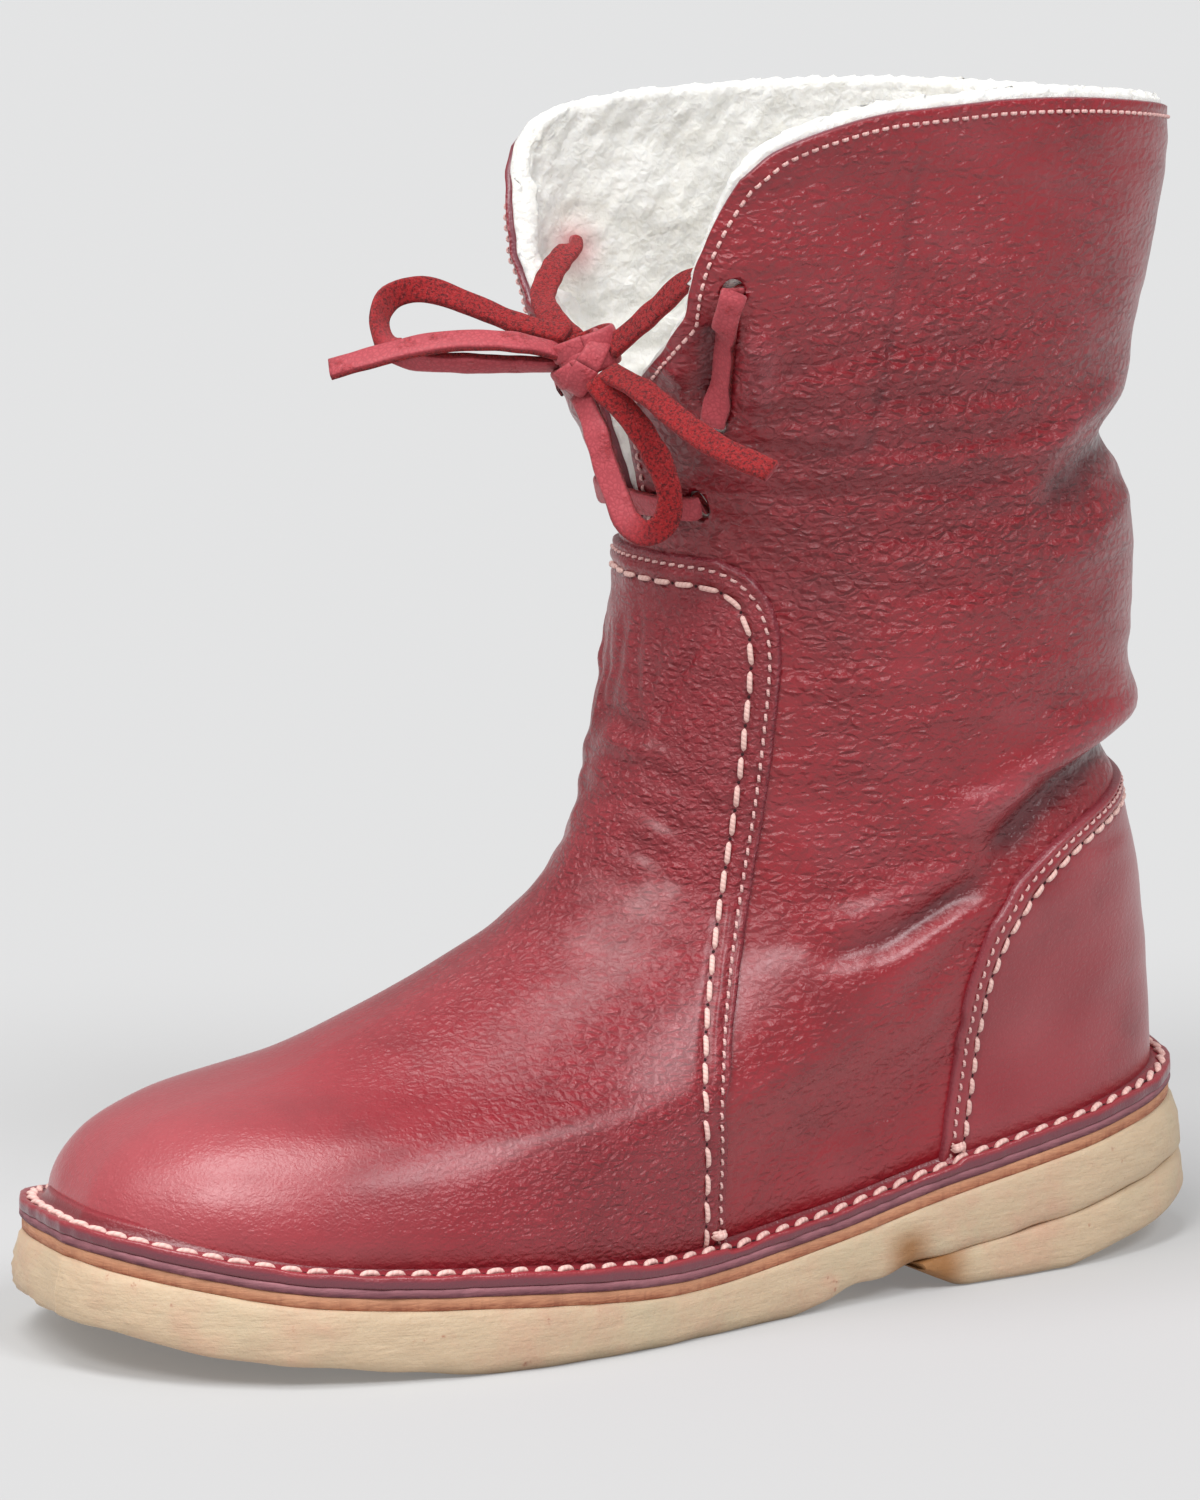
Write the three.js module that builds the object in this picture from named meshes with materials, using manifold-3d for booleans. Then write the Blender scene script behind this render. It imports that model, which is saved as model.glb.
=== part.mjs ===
// Shearling ankle boot for a left foot. Millimetres, +Z up, toe towards -Y, outer side towards +X.
// The origin is on the floor under the middle of the heel's contact face.
import * as THREE from 'three';
import { mergeVertices } from 'three/addons/utils/BufferGeometryUtils.js';
import Module from 'manifold-3d';

// Driving dimensions
const LENGTH = 285;
const BALL_WIDTH = 110;
const HEEL_BACK = 65;
const COLLAR_HEIGHT = 254;
const WALL = 2.6;
const FLANGE_WIDTH = 7;
const FLANGE_THICKNESS = 2;
const WELT_THICKNESS = 1.4;
const MIDSOLE_THICKNESS = 2.3;
const INSOLE_THICKNESS = 3.2;
const HEEL_RAKE = 4;
const TOE_RAKE = 2;
const EDGE_INSET = 0.5;
const TOE_SPRING = 10.8;
const HEEL_BEVEL = 11;
const WAIST_HEIGHT = 18;
const OVERLAY_THICKNESS = 1.5;
const LACE_WIDTH = 6;
const LACE_THICKNESS = 2;
const LACE_SQUEEZE = 1.4;
const LACE_CLEARANCE = 0.6;
const LACE_HOLE_RADIUS = 3.9;
const KNOT_RADIUS = 6;
const CORD_RADIUS = 1.2;
const CORD_SIDES = 8;
const GAP = 0.3;
const OVERLAY_GAP = 0.8;

const LEATHER = { color: 0x8c2f39, roughness: 0.5 };
const LEATHER_EDGE = { color: 0x4a2129, roughness: 0.7 };
const LACE_LEATHER = { color: 0xb5363f, roughness: 0.7 };
const TAN = { color: 0xb06f4a, roughness: 0.8 };
const CREPE = { color: 0xd8bd94, roughness: 0.8 };
const FOOTBED = { color: 0xe8e2d6, roughness: 0.95 };

const OUTER = 1;
const INNER = -1;

// Rows of a table by the names of its columns
function table(columns, rows) {
  return rows.map((row) => Object.fromEntries(row.map((value, i) => [columns[i], value])));
}

// Sole outline: half widths as shares of the ball width, from the heel's back (0) to the toe (1)
const OUTLINE = [
  { share: 0, outer: 0, inner: 0 },
  { share: 0.012, outer: 0.113, inner: 0.113 },
  { share: 0.04, outer: 0.216, inner: 0.216 },
  { share: 0.09, outer: 0.293, inner: 0.293 },
  { share: 0.15, outer: 0.339, inner: 0.334 },
  { share: 0.22, outer: 0.356, inner: 0.335 },
  { share: 0.3, outer: 0.365, inner: 0.318 },
  { share: 0.4, outer: 0.39, inner: 0.3 },
  { share: 0.5, outer: 0.434, inner: 0.322 },
  { share: 0.6, outer: 0.485, inner: 0.39 },
  { share: 0.68, outer: 0.5, inner: 0.436 },
  { share: 0.75, outer: 0.484, inner: 0.475 },
  { share: 0.82, outer: 0.444, inner: 0.495 },
  { share: 0.88, outer: 0.389, inner: 0.48 },
  { share: 0.93, outer: 0.301, inner: 0.426 },
  { share: 0.97, outer: 0.196, inner: 0.328 },
  { share: 0.993, outer: 0.08, inner: 0.18 },
  { share: 1, outer: 0, inner: 0 },
];

// Height of the flange's top along the sole, as shares of the heel's height at the back
const SEAT_HEIGHT = 41;
const SEAT = [
  { share: 0, height: 1 },
  { share: 0.1, height: 0.885 },
  { share: 0.2, height: 0.775 },
  { share: 0.3, height: 0.66 },
  { share: 0.42, height: 0.505 },
  { share: 0.55, height: 0.425 },
  { share: 0.7, height: 0.5 },
  { share: 0.85, height: 0.575 },
  { share: 1, height: 0.765 },
];

// Underside of the crepe: ground contact, toe spring as shares of TOE_SPRING,
// waist and heel seat as shares of WAIST_HEIGHT
const UNDERSIDE = [
  { share: 0, height: 1.15 * WAIST_HEIGHT },
  { share: 0.1, height: 0.86 * WAIST_HEIGHT },
  { share: 0.2, height: 0.6 * WAIST_HEIGHT },
  { share: 0.32, height: 0.37 * WAIST_HEIGHT },
  { share: 0.39, height: 0.2 * WAIST_HEIGHT },
  { share: 0.45, height: 0 },
  { share: 0.72, height: 0 },
  { share: 0.8, height: 0.2 * TOE_SPRING },
  { share: 0.87, height: 0.39 * TOE_SPRING },
  { share: 0.93, height: 0.6 * TOE_SPRING },
  { share: 1, height: TOE_SPRING },
];

// Underside of the heel: bevel at the back, contact face, rounded breast
const HEEL_FRONT = 0.318;
const HEEL_UNDERSIDE = [
  { share: 0, height: HEEL_BEVEL },
  { share: 0.04, height: 0.78 * HEEL_BEVEL },
  { share: 0.08, height: 0.5 * HEEL_BEVEL },
  { share: 0.135, height: 0.26 * HEEL_BEVEL },
  { share: 0.185, height: 0 },
  { share: 0.275, height: 0 },
  { share: 0.296, height: 0.18 * HEEL_BEVEL },
  { share: HEEL_FRONT, height: 0.46 * HEEL_BEVEL },
];

// Sections of the upper. rise and backRise are the ring's front and back heights as shares of the collar
// height; front and back are its ends as shares of the length from the heel's back; outer and inner are
// its half widths as shares of half the ball width; foot is how far it follows the sole's outline;
// square is the front's roundness; middle is where it is widest; liftOuter and liftInner raise its sides.
const SECTIONS = table(
  ['rise', 'front', 'backRise', 'back', 'outer', 'inner', 'foot', 'square', 'middle', 'liftOuter',
    'liftInner'],
  [
    [0.118, 0, 0.154, 0, 0.864, 0.864, 1, 2, 0.5, 0, 0],
    [0.142, 0.961, 0.181, 0.041, 0.9, 0.9, 1, 2, 0.5, 0, 0],
    [0.169, 0.944, 0.213, 0.043, 0.89, 0.9, 0.93, 1.8, 0.42, 0, 0],
    [0.197, 0.902, 0.244, 0.047, 0.873, 0.882, 0.76, 1.65, 0.38, 0, 0],
    [0.22, 0.806, 0.272, 0.052, 0.855, 0.864, 0.56, 1.6, 0.36, 0, 0],
    [0.244, 0.748, 0.299, 0.058, 0.836, 0.845, 0.38, 1.6, 0.35, 0, 0],
    [0.276, 0.677, 0.331, 0.064, 0.818, 0.827, 0.22, 1.65, 0.35, 0, 0],
    [0.315, 0.608, 0.362, 0.072, 0.8, 0.81, 0.1, 1.7, 0.36, 0, 0],
    [0.362, 0.561, 0.398, 0.082, 0.79, 0.8, 0.04, 1.75, 0.39, 0, 0],
    [0.417, 0.531, 0.441, 0.091, 0.79, 0.8, 0, 1.85, 0.43, 0, 0],
    [0.488, 0.514, 0.5, 0.075, 0.827, 0.827, 0, 1.9, 0.47, 0, 0],
    [0.567, 0.495, 0.575, 0.071, 0.855, 0.855, 0, 1.95, 0.5, 0, 0],
    [0.642, 0.487, 0.65, 0.076, 0.873, 0.873, 0, 2, 0.5, 0, 0],
    [0.728, 0.508, 0.732, 0.099, 0.882, 0.882, 0, 2.4, 0.5, 0.004, 0],
    [0.807, 0.523, 0.811, 0.075, 0.89, 0.89, 0, 4, 0.5, 0.008, 0],
    [0.886, 0.533, 0.89, 0.058, 0.91, 0.91, 0, 7, 0.5, 0.016, 0],
    [0.945, 0.533, 0.949, 0.048, 0.927, 0.927, 0, 8, 0.5, 0.026, 0.004],
    [1, 0.53, 1.002, 0.047, 0.945, 0.945, 0, 8, 0.5, 0.032, 0.008],
  ],
);

// Throat: half width of the opening as shares of half the ball width, by rise
const THROAT = [
  { rise: 0.654, width: 0 },
  { rise: 0.685, width: 0.04 },
  { rise: 0.728, width: 0.065 },
  { rise: 0.768, width: 0.11 },
  { rise: 0.797, width: 0.24 },
  { rise: 0.813, width: 0.35 },
  { rise: 0.838, width: 0.52 },
  { rise: 0.858, width: 0.63 },
  { rise: 0.876, width: 0.68 },
  { rise: 0.909, width: 0.74 },
  { rise: 0.943, width: 0.82 },
  { rise: 0.972, width: 0.92 },
];
const THROAT_BASE = THROAT[0].rise;
const CORNER_RISE = THROAT[THROAT.length - 1].rise;

// Collar edge from the throat's rounded corner (0) to the back (1)
const COLLAR_EDGE = [
  { share: 0, rise: CORNER_RISE },
  { share: 0.05, rise: 0.989 },
  { share: 0.12, rise: 0.996 },
  { share: 0.23, rise: 1 },
  { share: 1, rise: 1 },
];

// Levels of the upper's grid, closer together where the form turns
const FOOT_LEVELS = [0.118, 0.13, 0.142, 0.156, 0.172, 0.188, 0.203, 0.22, 0.24, 0.263, 0.29, 0.32,
  0.355, 0.39, 0.425, 0.46, 0.5, 0.54, 0.58, 0.62, THROAT_BASE];
const THROAT_LEVELS = [0.685, 0.715, 0.745, 0.772, 0.795, 0.815, 0.838, 0.86, 0.89, 0.92, 0.948, CORNER_RISE];
const SIDE_COLUMNS = 18;

// Vamp: half width as shares of the half ring from the front centre, by rise
const VAMP_TOP = 0.645;
const VAMP = [
  { rise: 0.124, width: 0.503 },
  { rise: 0.145, width: 0.498 },
  { rise: 0.165, width: 0.492 },
  { rise: 0.18, width: 0.482 },
  { rise: 0.195, width: 0.464 },
  { rise: 0.2185, width: 0.407 },
  { rise: 0.245, width: 0.369 },
  { rise: 0.272, width: 0.333 },
  { rise: 0.295, width: 0.303 },
  { rise: 0.32, width: 0.276 },
  { rise: 0.346, width: 0.2585 },
  { rise: 0.385, width: 0.244 },
  { rise: 0.427, width: 0.239 },
  { rise: 0.492, width: 0.2305 },
  { rise: 0.577, width: 0.219 },
  { rise: 0.6, width: 0.208 },
  { rise: 0.62, width: 0.19 },
  { rise: 0.634, width: 0.168 },
  { rise: VAMP_TOP, width: 0.13 },
];
const VAMP_CORNER = [0.61, 0.626, 0.638];
const VAMP_COLUMNS = 20;

// Heel counter: half width as shares of the half ring from the back centre, by rise
const COUNTER_TOP = 0.404;
const COUNTER = [
  { rise: 0.124, width: 0.296 },
  { rise: 0.165, width: 0.296 },
  { rise: 0.18, width: 0.299 },
  { rise: 0.195, width: 0.306 },
  { rise: 0.209, width: 0.326 },
  { rise: 0.225, width: 0.352 },
  { rise: 0.242, width: 0.367 },
  { rise: 0.26, width: 0.379 },
  { rise: 0.291, width: 0.3915 },
  { rise: 0.317, width: 0.3905 },
  { rise: 0.348, width: 0.36 },
  { rise: 0.372, width: 0.305 },
  { rise: 0.394, width: 0.19 },
  { rise: COUNTER_TOP, width: 0.05 },
];
const COUNTER_CORNER = [0.366, 0.376, 0.385, 0.393, 0.399];
const COUNTER_COLUMNS = 16;

// Lace holes: rise, and distance from the front centre on each side as a share of half the ball width
const HOLES = {
  lower: { rise: 0.69, outer: 0.37, inner: 0.37 },
  middle: { rise: 0.768, outer: 0.6, inner: 0.6 },
  upper: { rise: 0.88, outer: 0.87, inner: 1.12 },
};

// The bow lies free, so its places are chosen by hand
const KNOT = [8, -93, 207];
const BOW = {
  lace_loop_left: [[3.7, -95.5, 212.3], [-5.1, -102.7, 214.2], [-13.5, -109.5, 217.8],
    [-21.1, -117.3, 220.8], [-23.4, -123.8, 219.2], [-20.4, -128.2, 215.1], [-15.3, -129.2, 210.6],
    [-9.6, -126.4, 207.7], [-2.7, -116.9, 206.8], [0.8, -105.5, 206.2], [2.6, -96.4, 205.7]],
  lace_end_left: [[4.6, -97.3, 208.6], [4.1, -107.9, 211.4], [-0.7, -118, 212], [-5.1, -125.7, 211.1],
    [-9.6, -132, 209.2], [-13.6, -137.4, 207.3], [-17.1, -142.1, 205.5]],
  lace_loop_low: [[6.6, -93.8, 199.8], [14.4, -95, 193.2], [17.6, -94.3, 185.7], [20.7, -93.3, 179.3],
    [23.7, -92.3, 174], [26.8, -89.8, 171.8], [28.4, -86.3, 173.6], [28.4, -84.7, 178.5],
    [26.7, -85.3, 184.5], [24, -87.6, 191.1], [20.1, -90.2, 196.7], [13.8, -94.8, 203.9]],
  lace_end_right: [[14.3, -91.8, 205.2], [26, -89.5, 202], [36, -87, 197], [46, -83, 192], [57, -77, 188]],
};

// Small vector and table helpers
const lerp = (a, b, t) => a + (b - a) * t;
const add = (p, q, k = 1) => [p[0] + q[0] * k, p[1] + q[1] * k, p[2] + q[2] * k];
const subtract = (p, q) => [p[0] - q[0], p[1] - q[1], p[2] - q[2]];
const cross = (p, q) => [p[1] * q[2] - p[2] * q[1], p[2] * q[0] - p[0] * q[2], p[0] * q[1] - p[1] * q[0]];
const length = (p) => Math.hypot(p[0], p[1], p[2]);
const unit = (p) => p.map((value) => value / length(p));

// Monotone cubic through a table's rows, so nothing swells past its rows
function smooth(rows, key, column) {
  const xs = rows.map((row) => row[key]);
  const ys = rows.map((row) => row[column] ?? 0);
  const steps = xs.slice(1).map((x, i) => x - xs[i]);
  const rises = steps.map((step, i) => (ys[i + 1] - ys[i]) / step);
  const slopes = xs.map((x, i) => {
    if (i === 0 || i === xs.length - 1) {
      return i === 0 ? rises[0] : rises[rises.length - 1];
    }
    if (rises[i - 1] * rises[i] <= 0) {
      return 0;
    }
    const ahead = 2 * steps[i] + steps[i - 1];
    const behind = steps[i] + 2 * steps[i - 1];
    return (ahead + behind) / (ahead / rises[i - 1] + behind / rises[i]);
  });
  return (value) => {
    const x = Math.min(Math.max(value, xs[0]), xs[xs.length - 1]);
    let i = 0;
    while (i < steps.length - 1 && x > xs[i + 1]) {
      i += 1;
    }
    const t = (x - xs[i]) / steps[i];
    const hermite = (2 * t ** 3 - 3 * t ** 2 + 1) * ys[i] + (t ** 3 - 2 * t ** 2 + t) * steps[i] * slopes[i];
    return hermite + (3 * t ** 2 - 2 * t ** 3) * ys[i + 1] + (t ** 3 - t ** 2) * steps[i] * slopes[i + 1];
  };
}

// Collects shared points and faces, and makes them a mesh with its faces pointing out
class Shell {
  constructor() {
    this.points = [];
    this.faces = [];
  }

  point(p) {
    this.points.push(p);
    return this.points.length - 1;
  }

  triangle(a, b, c) {
    if (a !== b && b !== c && c !== a) {
      this.faces.push([a, b, c]);
    }
  }

  // Splits along the shorter diagonal
  quad(a, b, c, d) {
    const [first, second] = [this.distance(a, c), this.distance(b, d)];
    if (first <= second) {
      this.triangle(a, b, c);
      this.triangle(a, c, d);
    } else {
      this.triangle(a, b, d);
      this.triangle(b, c, d);
    }
  }

  distance(a, b) {
    return length(subtract(this.points[a], this.points[b]));
  }

  volume() {
    return this.faces.reduce((sum, [a, b, c]) => {
      const p = this.points[a];
      const n = cross(this.points[b], this.points[c]);
      return sum + (p[0] * n[0] + p[1] * n[1] + p[2] * n[2]) / 6;
    }, 0);
  }

  geometry() {
    const outward = this.volume() > 0;
    const geometry = new THREE.BufferGeometry();
    geometry.setAttribute('position', new THREE.Float32BufferAttribute(this.points.flat(), 3));
    geometry.setIndex(this.faces.flatMap(([a, b, c]) => (outward ? [a, b, c] : [a, c, b])));
    return mergeVertices(geometry, 1e-5);
  }
}

// Sole outline at a distance in from the crepe's foot: a half width by share, and the y at each end
const outlineOuter = smooth(OUTLINE, 'share', 'outer');
const outlineInner = smooth(OUTLINE, 'share', 'inner');
const seatTop = smooth(SEAT, 'share', 'height');
const underside = smooth(UNDERSIDE, 'share', 'height');
const heelUnderside = smooth(HEEL_UNDERSIDE, 'share', 'height');
const shareAt = (y) => (HEEL_BACK - y) / LENGTH;
const flangeTop = (y) => seatTop(shareAt(y)) * SEAT_HEIGHT;

function outlineHalf(share, side) {
  return side * (side === OUTER ? outlineOuter(share) : outlineInner(share)) * 2;
}

function outlinePoint(share, side, inset, rake) {
  const back = HEEL_BACK - HEEL_RAKE * rake - inset;
  const front = HEEL_BACK - LENGTH + TOE_RAKE * rake + inset;
  return [outlineHalf(share, side) * (BALL_WIDTH / 2 - inset), lerp(back, front, share)];
}

// Rings of the upper, resampled so that a share of the half ring is a share of its length
const FEATHER_BACK = (HEEL_RAKE + FLANGE_WIDTH) / LENGTH;
const FEATHER_FRONT = 1 - (TOE_RAKE + FLANGE_WIDTH) / LENGTH;
SECTIONS[0].front = FEATHER_FRONT;
SECTIONS[0].back = FEATHER_BACK;
const FEATHER_RISE = SECTIONS[0].rise;
const FEATHER_BLEND = 0.177;
const BACK_SQUARE = 2.2;
const RING_STEPS = 120;
const section = {};
for (const column of ['front', 'backRise', 'back', 'outer', 'inner', 'foot', 'square', 'middle', 'liftOuter',
  'liftInner']) {
  section[column] = smooth(SECTIONS, 'rise', column);
}
const ringStore = new Map();

function ring(rise, side) {
  const key = `${rise.toFixed(6)} ${side}`;
  if (ringStore.has(key)) {
    return ringStore.get(key);
  }
  const front = HEEL_BACK - section.front(rise) * LENGTH;
  const back = HEEL_BACK - section.back(rise) * LENGTH;
  const half = (side === OUTER ? section.outer(rise) : section.inner(rise)) * (BALL_WIDTH / 2);
  const lift = (side === OUTER ? section.liftOuter(rise) : section.liftInner(rise)) * COLLAR_HEIGHT;
  const foot = section.foot(rise);
  const widest = lerp(back, front, section.middle(rise));
  const low = Math.min(Math.max(1 - (rise - FEATHER_RISE) / FEATHER_BLEND, 0), 1);
  const seat = low * low * (3 - 2 * low);
  const points = [];
  for (let step = 0; step <= RING_STEPS; step += 1) {
    const angle = Math.PI * step / RING_STEPS;
    const cosine = Math.cos(angle);
    const along = (1 - cosine) / 2;
    const power = 2 / (step < RING_STEPS / 2 ? section.square(rise) : BACK_SQUARE);
    const reach = cosine > 0 ? widest - front : back - widest;
    const ovalY = widest - reach * Math.sign(cosine) * Math.abs(cosine) ** power;
    const ovalX = half * Math.abs(Math.sin(angle)) ** power;
    const footX = half * Math.abs(outlineHalf(1 - along, side));
    const y = lerp(ovalY, lerp(front, back, along), foot);
    const share = (y - front) / (back - front);
    const planar = lerp(rise, section.backRise(rise), share) * COLLAR_HEIGHT;
    const featherY = HEEL_BACK - lerp(FEATHER_FRONT, FEATHER_BACK, share) * LENGTH;
    const featherZ = lerp(FEATHER_RISE, SECTIONS[0].backRise, share) * COLLAR_HEIGHT;
    const z = planar + lift * 4 * share * (1 - share) + seat * (flangeTop(featherY) - featherZ);
    points.push([side * lerp(ovalX, footX, foot), y, z]);
  }
  const lengths = [0];
  for (let step = 1; step <= RING_STEPS; step += 1) {
    lengths.push(lengths[step - 1] + length(subtract(points[step], points[step - 1])));
  }
  const result = { points, lengths, total: lengths[RING_STEPS] };
  ringStore.set(key, result);
  return result;
}

// Point of the upper's outside: turn is the share of the half ring from the front centre,
// positive on the outer side, and past 1 it goes on round the back
function surface(turn, rise) {
  const wrapped = turn > 1 ? turn - 2 : turn < -1 ? turn + 2 : turn;
  const { points, lengths, total } = ring(rise, wrapped < 0 ? INNER : OUTER);
  const target = Math.abs(wrapped) * total;
  let step = 1;
  while (step < RING_STEPS && lengths[step] < target) {
    step += 1;
  }
  const t = (target - lengths[step - 1]) / (lengths[step] - lengths[step - 1]);
  return points[step - 1].map((value, axis) => lerp(value, points[step][axis], t));
}

function normal(turn, rise) {
  const aside = 0.012;
  const step = 0.006;
  const above = Math.min(rise + step, 1);
  const below = Math.max(rise - step, FEATHER_RISE);
  const across = subtract(surface(turn + aside, rise), surface(turn - aside, rise));
  return unit(cross(across, subtract(surface(turn, above), surface(turn, below))));
}

const offset = (turn, rise, distance) => add(surface(turn, rise), normal(turn, rise), distance);

// Upper: a hollow wall, turned out below as a flange, split at the throat
const throatWidth = smooth(THROAT, 'rise', 'width');
const collarEdge = smooth(COLLAR_EDGE, 'share', 'rise');
const openingAt = (rise) => (rise <= THROAT_BASE ? 0 : throatWidth(rise) * BALL_WIDTH / 2);

function upperPlace(rise, column) {
  const side = column <= SIDE_COLUMNS ? OUTER : INNER;
  const share = (side === OUTER ? column : 2 * SIDE_COLUMNS - column) / SIDE_COLUMNS;
  const climb = (collarEdge(share) - THROAT_BASE) / (CORNER_RISE - THROAT_BASE);
  const place = rise <= THROAT_BASE ? rise : THROAT_BASE + (rise - THROAT_BASE) * climb;
  const opening = openingAt(rise) / ring(place, side).total;
  return { turn: side * lerp(opening, 1, share), rise: place, side, share };
}

function makeUpper() {
  const shell = new Shell();
  const levels = [...FOOT_LEVELS, ...THROAT_LEVELS];
  const base = FOOT_LEVELS.length - 1;
  const last = 2 * SIDE_COLUMNS;
  const outside = [];
  const inside = [];
  for (const [level, rise] of levels.entries()) {
    const outer = [];
    const inner = [];
    for (let column = 0; column <= last; column += 1) {
      if (level <= base && column === last) {
        outer.push(outer[0]);
        inner.push(inner[0]);
        continue;
      }
      const place = upperPlace(rise, column);
      outer.push(shell.point(surface(place.turn, place.rise)));
      inner.push(shell.point(offset(place.turn, place.rise, -WALL)));
    }
    outside.push(outer);
    inside.push(inner);
  }
  for (let level = 0; level + 1 < levels.length; level += 1) {
    for (let column = 0; column < last; column += 1) {
      shell.quad(outside[level][column], outside[level][column + 1], outside[level + 1][column + 1],
        outside[level + 1][column]);
      shell.quad(inside[level][column + 1], inside[level][column], inside[level + 1][column],
        inside[level + 1][column + 1]);
    }
    if (level >= base) {
      shell.quad(inside[level][0], outside[level][0], outside[level + 1][0], inside[level + 1][0]);
      shell.quad(outside[level][last], inside[level][last], inside[level + 1][last],
        outside[level + 1][last]);
    }
  }
  const top = levels.length - 1;
  for (let column = 0; column < last; column += 1) {
    shell.quad(outside[top][column], outside[top][column + 1], inside[top][column + 1], inside[top][column]);
  }
  addFlange(shell, outside[0], inside[0], last);
  return shell;
}

// The wall's foot turned out over the welt
function addFlange(shell, outer, inner, last) {
  const edge = [];
  const under = [];
  const foot = [];
  for (let column = 0; column < last; column += 1) {
    const place = upperPlace(FEATHER_RISE, column);
    const [x, y] = flangeEdge(place.side, place.share);
    edge.push(shell.point([x, y, flangeTop(y)]));
    under.push(shell.point([x, y, flangeTop(y) - FLANGE_THICKNESS]));
    const corner = shell.points[inner[column]];
    foot.push(shell.point([corner[0], corner[1], flangeTop(corner[1]) - FLANGE_THICKNESS]));
  }
  for (let column = 0; column < last; column += 1) {
    const next = (column + 1) % last;
    shell.quad(edge[column], edge[next], outer[next], outer[column]);
    shell.quad(under[column], under[next], edge[next], edge[column]);
    shell.quad(foot[column], foot[next], under[next], under[column]);
    shell.quad(inner[column], inner[next], foot[next], foot[column]);
  }
}

// Outer edge of the flange, by share of its length from the toe to the heel
const EDGE_STEPS = 160;
const edgeStore = new Map();

function flangeEdge(side, share) {
  if (!edgeStore.has(side)) {
    const points = [];
    for (let step = 0; step <= EDGE_STEPS; step += 1) {
      const along = (1 + Math.cos(Math.PI * step / EDGE_STEPS)) / 2;
      points.push(outlinePoint(along, side, EDGE_INSET, 1));
    }
    const lengths = [0];
    for (let step = 1; step <= EDGE_STEPS; step += 1) {
      const [dx, dy] = [points[step][0] - points[step - 1][0], points[step][1] - points[step - 1][1]];
      lengths.push(lengths[step - 1] + Math.hypot(dx, dy));
    }
    edgeStore.set(side, { points, lengths });
  }
  const { points, lengths } = edgeStore.get(side);
  const target = share * lengths[EDGE_STEPS];
  let step = 1;
  while (step < EDGE_STEPS && lengths[step] < target) {
    step += 1;
  }
  const t = (target - lengths[step - 1]) / (lengths[step] - lengths[step - 1]);
  return [lerp(points[step - 1][0], points[step][0], t), lerp(points[step - 1][1], points[step][1], t)];
}

// A closed slab between two offsets of the upper's outside, from rows of places
function overlay(rows, low, high) {
  const shell = new Shell();
  const under = rows.map((row) => row.map(([turn, rise]) => shell.point(offset(turn, rise, low))));
  const over = rows.map((row) => row.map(([turn, rise]) => shell.point(offset(turn, rise, high))));
  const last = rows[0].length - 1;
  const top = rows.length - 1;
  for (let i = 0; i < top; i += 1) {
    for (let j = 0; j < last; j += 1) {
      shell.quad(over[i][j], over[i][j + 1], over[i + 1][j + 1], over[i + 1][j]);
      shell.quad(under[i][j + 1], under[i][j], under[i + 1][j], under[i + 1][j + 1]);
    }
    shell.quad(under[i][0], over[i][0], over[i + 1][0], under[i + 1][0]);
    shell.quad(over[i][last], under[i][last], under[i + 1][last], over[i + 1][last]);
  }
  for (let j = 0; j < last; j += 1) {
    shell.quad(under[0][j], under[0][j + 1], over[0][j + 1], over[0][j]);
    shell.quad(over[top][j], over[top][j + 1], under[top][j + 1], under[top][j]);
  }
  return shell;
}

// Rows of places across a panel, on the upper's own levels and on those that round its corners
function panelRows(panel, corner, columns, centre) {
  const width = smooth(panel, 'rise', 'width');
  const [foot, top] = [panel[0].rise, panel[panel.length - 1].rise];
  const shared = FOOT_LEVELS.filter((rise) => rise > foot && rise < Math.min(top, corner[0]));
  const levels = [foot, ...shared, ...corner, top];
  return levels.map((rise) => {
    const row = [];
    for (let column = 0; column <= columns; column += 1) {
      row.push([centre + (2 * column / columns - 1) * width(rise), rise]);
    }
    return row;
  });
}

// Sole layers: stations along the sole, each a chain of points down both sides
const STATIONS = [];
const STATION_COUNT = 36;
for (let step = 0; step <= STATION_COUNT; step += 1) {
  STATIONS.push((1 - Math.cos(Math.PI * step / STATION_COUNT)) / 2);
}

function stationsBetween(start, end, extra) {
  const closest = 0.006;
  const inside = STATIONS.filter((share) => share > start && share < end);
  const clear = inside.filter((share) => extra.every((value) => Math.abs(value - share) > closest));
  return [start, ...clear, ...extra, end].sort((a, b) => a - b);
}

function slab(stations, layers) {
  const shell = new Shell();
  const chains = stations.map((share) => {
    const chain = {};
    for (const side of [OUTER, INNER]) {
      chain[side] = layers.map(({ edge, height }) => {
        const [x, y] = edge(share, side);
        return shell.point([x, y, height(share, y)]);
      });
    }
    if (share === 0 || share === 1) {
      chain[INNER] = chain[OUTER];
    }
    return chain;
  });
  const last = layers.length - 1;
  for (let i = 0; i + 1 < chains.length; i += 1) {
    const [here, next] = [chains[i], chains[i + 1]];
    for (let k = 0; k < last; k += 1) {
      shell.quad(here[OUTER][k], here[OUTER][k + 1], next[OUTER][k + 1], next[OUTER][k]);
      shell.quad(here[INNER][k + 1], here[INNER][k], next[INNER][k], next[INNER][k + 1]);
    }
    shell.quad(here[INNER][0], here[OUTER][0], next[OUTER][0], next[INNER][0]);
    shell.quad(here[OUTER][last], here[INNER][last], next[INNER][last], next[OUTER][last]);
  }
  for (const [chain, flip] of [[chains[0], false], [chains[chains.length - 1], true]]) {
    for (let k = 0; k < last; k += 1) {
      const corners = [chain[OUTER][k], chain[INNER][k], chain[INNER][k + 1], chain[OUTER][k + 1]];
      shell.quad(...(flip ? corners.reverse() : corners));
    }
  }
  return shell;
}

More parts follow.
